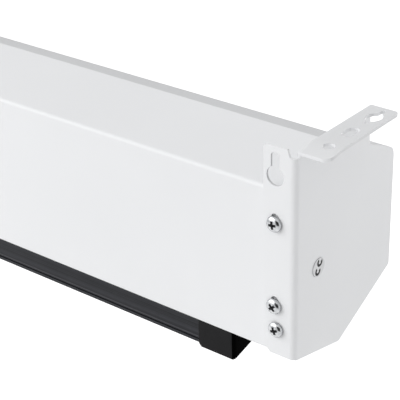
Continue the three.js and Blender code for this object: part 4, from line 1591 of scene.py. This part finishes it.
@dataclass
class Screen:
    """The cloth: wound on the roller, hanging to the bar and sewn round the batten.

    Attributes:
        waves: millimetres across to a radian of two waves.
        drift: how far the second wave moves on down the cloth, in radians.
        clear: gap below the roll's full radius.
        packed: thickness of the wound cloth as a share of the gauge.
        hem_leg: half of the doubled cloth's spacing, in gauges.
        hem_rise: how far above the batten the hem closes.
        hem_short: how far the sewn end stays below the bar's top.
    """

    width: float = 1513.0
    gauge: float = 0.28
    roller_axis: float = 18.2
    tube: float = 12.5
    roll: float = 16.488
    plane: float = 35.238
    bar_top: float = -58.5
    travel: float = 1177.0
    batten_axis: float = -64.0
    batten: float = 2.5
    rows: int = 72
    columns: int = 48
    ripple: float = 0.7
    waves: Pair = (95.0, 231.0)
    drift: float = 4.0
    curl: float = 1.6
    curl_width: float = 60.0
    turn_steps: int = 40
    clear: float = 0.02
    packed: float = 0.75
    hem_steps: int = 28
    hem_leg: float = 1.1
    hem_rise: float = 0.6
    hem_short: float = 0.4

    def fit_cut_map(self, blank: Blank, rise: Callable[[Vert], float]) -> None:
        """Writes each corner's place on the flat cloth into the cut map and turns all faces to one side.

        Args:
            blank: the cloth's blank.
            rise: gives a vertex's distance up from the bar on the flat cloth, in millimetres.
        """
        layer = blank.mesh.loops.layers.uv.new(ScreenFace.cut_map)
        for face in blank.mesh.faces:
            for corner in face.loops:
                corner[layer].uv = (corner.vert.co.x * MM, rise(corner.vert) * MM)
        bmesh.ops.recalc_face_normals(blank.mesh, faces=blank.mesh.faces[:])

    def finish(self, blank: Blank, body: Optional[Body], gauge: float) -> bpy.types.Object:
        """Delivers a part of the cloth, white on the outside and black on the inside.

        Args:
            blank: the part.
            body: what it rides on.
            gauge: its thickness.

        Returns:
            The object.
        """
        piece = blank.deliver(body, ScreenFace(), ScreenBack())
        thicken(piece, gauge, 1, 0.0)
        return piece

    def drop(self) -> bpy.types.Object:
        """The hanging part, whose rows are spaced so that they are even when it is down.

        Returns:
            The object.
        """
        blank = Blank("screen_cloth_drop", "fabric_drop")
        mesh = blank.mesh
        bmesh.ops.create_grid(mesh, x_segments=self.columns, y_segments=self.rows, size=0.5)
        height = -self.bar_top
        short, long = self.waves
        shares: dict[Vert, float] = {}
        for vert in mesh.verts:
            share = 0.5 - vert.co.y
            across = vert.co.x * self.width
            edge = max(0.0, 1.0 - (self.width / 2 - abs(across)) / self.curl_width)
            wave = self.ripple * math.sin(across / short) * math.sin(across / long + self.drift * share)
            hang = math.sin(math.pi * share) * (wave - self.curl * edge**2)
            shares[vert] = share
            vert.co = (across, self.plane + hang, -self.unsmooth(share) * height)
        self.fit_cut_map(blank, lambda vert: (1.0 - shares[vert]) * self.travel + (height + vert.co.z))
        mesh.faces.ensure_lookup_table()
        blank.look(mesh.faces[0], 1)
        piece = self.finish(blank, None, self.gauge)
        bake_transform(piece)
        return piece

    @staticmethod
    def unsmooth(share: float) -> float:
        """The place whose smooth step is that share."""
        return 0.5 - math.sin(math.asin(1.0 - 2.0 * share) / 3.0)

    def wound(self) -> tuple[bpy.types.Object, float]:
        """The wound part, a spiral from the front of the roll inwards to the tube.

        Returns:
            The object and the cloth's length on the roll in millimetres.
        """
        blank = Blank("screen_cloth_roll", "fabric_roll")
        turns = (self.roll - self.tube) / self.gauge - 1.0
        outer = self.roll - self.gauge / 2 - self.clear
        places: list[Vector] = []
        lengths = [0.0]
        for step in range(int(turns * self.turn_steps) + 1):
            turn = step / self.turn_steps
            angle, radius = turn * 2 * math.pi, outer - self.gauge * turn
            places.append(Vector((self.roller_axis + radius * math.cos(angle), radius * math.sin(angle))))
        for before, after in zip(places, places[1:]):
            lengths.append(lengths[-1] + (after - before).length)
        verts = blank.ribbon(places, self.width / 2)
        measured = {self.key(vert.co): far for vert, far in zip(verts, lengths)}
        self.fit_cut_map(blank, lambda vert: measured[self.key(vert.co)] - self.bar_top)
        blank.mesh.faces.ensure_lookup_table()
        blank.look(blank.mesh.faces[0], 1)
        return self.finish(blank, Body.ROLLER, self.gauge * self.packed), lengths[-1]

    @staticmethod
    def key(place: Vector) -> Pair:
        """A place's depth and height, rounded so that it can be looked up."""
        return (round(place.y, 3), round(place.z, 3))

    def hem(self) -> bpy.types.Object:
        """The cloth's end, doubled round the batten and sewn back on itself.

        Returns:
            The object.
        """
        blank = Blank("screen_cloth_hem", "fabric_hem")
        radius = self.batten + self.gauge
        leg = self.gauge * self.hem_leg
        closed = self.batten_axis + radius + self.hem_rise
        gap = math.asin(leg / radius)
        turn = arc(radius, math.pi / 2 - gap, 2 * gap - 2 * math.pi, self.hem_steps)
        path = [(leg, self.bar_top), (leg, closed)]
        path += [(y, self.batten_axis + z) for y, z in turn]
        path += [(-leg, closed), (-leg, self.bar_top - self.hem_short)]
        blank.ribbon(((self.plane + y, z) for y, z in path), self.width / 2)
        self.fit_cut_map(blank, lambda vert: 0.0)
        return self.finish(blank, Body.BAR, self.gauge)

    def build(self) -> None:
        hem = self.hem()
        drop = self.drop()
        roll, length = self.wound()


@dataclass
class InnerWorks:
    """Nodes inside the case that keep their shape and get their finish."""

    nodes: tuple[tuple[Finish, tuple[str, ...]], ...] = (
        (DrawnSteel(), ("roller_tube", "ratchet_wheel", "pawl_upper", "pawl_lower", "spring_collar")),
        (Nylon(), ("idle_plug", "spring_plug", "fabric_batten")),
        (SpringSteel(), ("torsion_spring",)),
    )

    def build(self) -> None:
        """Puts the finishes on the nodes."""
        for finish, nodes in self.nodes:
            for node in nodes:
                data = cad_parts[node].data
                data.materials.clear()
                data.materials.append(finish.make())
                LOG.info("node %s: %s", node, type(finish).__name__)


@dataclass(frozen=True)
class Lamp:
    """One soft rectangular lamp, whose level is the light that it gives at its aim."""

    name: str
    place: Place
    aim: Place
    size: Pair
    level: float

    def build(self) -> None:
        """Sets the lamp up and turns it to its aim."""
        data = bpy.data.lights.new(self.name, "AREA")
        data.shape = "RECTANGLE"
        data.size, data.size_y = self.size
        lamp = bpy.data.objects.new(self.name, data)
        way = Vector(self.aim) - Vector(self.place)
        data.energy = self.level * math.pi**2 * way.length_squared
        lamp.location = self.place
        lamp.rotation_euler = way.to_track_quat("-Z", "Y").to_euler()
        bpy.context.scene.collection.objects.link(lamp)


@dataclass(frozen=True)
class Card:
    """A dark or glowing card round the object, which only polished metal sees."""

    name: str
    place: Place
    aim: Place
    size: Pair
    tone: float = 0.02
    glow: float = 0.0

    def build(self) -> None:
        """Stands the card up facing its aim."""
        blank = Blank(self.name)
        turn = (Vector(self.aim) - Vector(self.place)).to_track_quat("Z", "Y").to_matrix().to_4x4()
        place = Matrix.Translation(self.place) @ turn @ Matrix.Diagonal((*self.size, 1.0, 1.0))
        bmesh.ops.create_grid(blank.mesh, x_segments=1, y_segments=1, size=0.5, matrix=place)
        recipe = Recipe(self.name)
        recipe.set(
            base_color=(self.tone,) * 3, roughness=1.0, emission_color=WHITE, emission_strength=self.glow
        )
        card = blank.to_object([recipe.material])
        for rays in ("camera", "diffuse", "transmission", "shadow", "volume_scatter"):
            setattr(card, f"visible_{rays}", False)
        card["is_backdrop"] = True


@dataclass
class Studio:
    """White surroundings, a pale floor, soft lamps and the camera of the photograph."""

    ambient: float = 0.71
    floor_height: float = -1.46
    floor_size: float = 60.0
    floor_colour: Colour = (0.8, 0.8, 0.8)
    floor_glow: float = 0.5
    camera_place: Place = (1.15445, -0.46207, 0.33693)
    azimuth: float = 38.870
    elevation: float = 27.597
    roll: float = 1.4111
    lens: float = 123.665
    sensor: float = 36.0
    clip: Pair = (0.01, 100.0)
    lamps: tuple[Lamp, ...] = (
        Lamp("key", (-2.0, -2.5, 2.0), (0.6, 0.0, 0.0), (4.4, 3.4), 0.60),
        Lamp("side", (4.6, 1.1, 0.0), (0.84, 0.04, 0.0), (2.0, 2.4), 0.05),
        Lamp("front", (1.2, 3.2, -1.1), (0.0, 0.0, -0.1), (3.2, 0.6), 0.22),
    )
    cards: tuple[Card, ...] = (
        Card("camera_side_card", (2.5, -3.1, 0.5), (0.83, 0.0, 0.0), (4.0, 3.4)),
        Card("back_card", (-1.4, 3.0, -0.3), (0.7, 0.0, 0.0), (3.6, 3.0)),
        Card("key_card", (-2.0, -3.2, 1.75), (0.83, 0.0, 0.0), (6.0, 4.4), 0.02, 1.8),
    )

    def world(self) -> None:
        """Even light for surfaces, and white for what the camera, metal and glass see."""
        world = bpy.data.worlds.new("studio")
        bpy.context.scene.world = world
        world.use_nodes = True
        nodes = Nodes(world.node_tree)
        background = nodes.tree.nodes["Background"].inputs
        nodes.feed(background["Color"], WHITE)
        nodes.feed(background["Strength"], nodes.range(nodes.seen(), self.ambient, 1.0, 0.0, 1.0))

    def floor(self) -> None:
        """A pale floor below the lowered screen, white but for the object's shadow, and clear from below."""
        blank = Blank("floor")
        bmesh.ops.create_grid(blank.mesh, x_segments=1, y_segments=1, size=self.floor_size / 2)
        blank.shift((0, 0, self.floor_height))
        material = bpy.data.materials.new("pale_floor")
        material.use_nodes = True
        nodes = Nodes(material.node_tree)
        nodes.tree.nodes.clear()
        diffuse = nodes.add("BsdfDiffuse", [("Color", self.floor_colour)]).outputs[0]
        level = nodes.math("MULTIPLY", nodes.seen(), self.floor_glow)
        glow = nodes.add("Emission", [("Strength", level)]).outputs[0]
        both = nodes.add("AddShader", [(0, diffuse), (1, glow)]).outputs[0]
        clear = nodes.add("BsdfTransparent").outputs[0]
        below = nodes.add("NewGeometry").outputs["Backfacing"]
        side = nodes.add("MixShader", [(0, below), (1, both), (2, clear)]).outputs[0]
        nodes.add("OutputMaterial", [("Surface", side)])
        blank.to_object([material])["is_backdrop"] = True

    def camera(self) -> None:
        """The camera that sees the object as the photograph does."""
        data = bpy.data.cameras.new("camera")
        data.sensor_width = self.sensor
        data.lens = self.lens
        data.clip_start, data.clip_end = self.clip
        camera = bpy.data.objects.new("camera", data)
        turn = quarter(Axis.Z, self.azimuth / 90) @ quarter(Axis.X, 1 - self.elevation / 90)
        turn = turn @ quarter(Axis.Z, -self.roll / 90)
        camera.matrix_world = Matrix.Translation(self.camera_place) @ turn.to_4x4()
        bpy.context.scene.collection.objects.link(camera)
        bpy.context.scene.camera = camera

    def build(self) -> None:
        """Sets up the camera, the surroundings, the floor, the cards and the lamps."""
        self.camera()
        self.world()
        self.floor()
        for thing in (*self.cards, *self.lamps):
            thing.build()
        bpy.context.scene.view_settings.view_transform = "Standard"


def corners() -> list[list[float]]:
    """The shown object's lowest and highest corner as plain lists."""
    return [[float(number) for number in corner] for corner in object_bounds()]


def main() -> None:
    """Builds the screen's assemblies in order."""
    logging.basicConfig(level=logging.INFO, format="%(message)s")
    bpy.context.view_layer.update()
    Studio().build()
    CaseShell().build()
    for end in End:
        EndPlate(end).build()
    screw = PanScrew().build()
    Screws(screw).build()
    AxleEnds().build()
    WeightBar().build()
    BarCaps().build()
    BarStops().build()
    HandleMount().build()
    PullHandle().build()
    Screen().build()
    InnerWorks().build()
    screw.mesh.free()


if __name__ == "__main__":
    main()
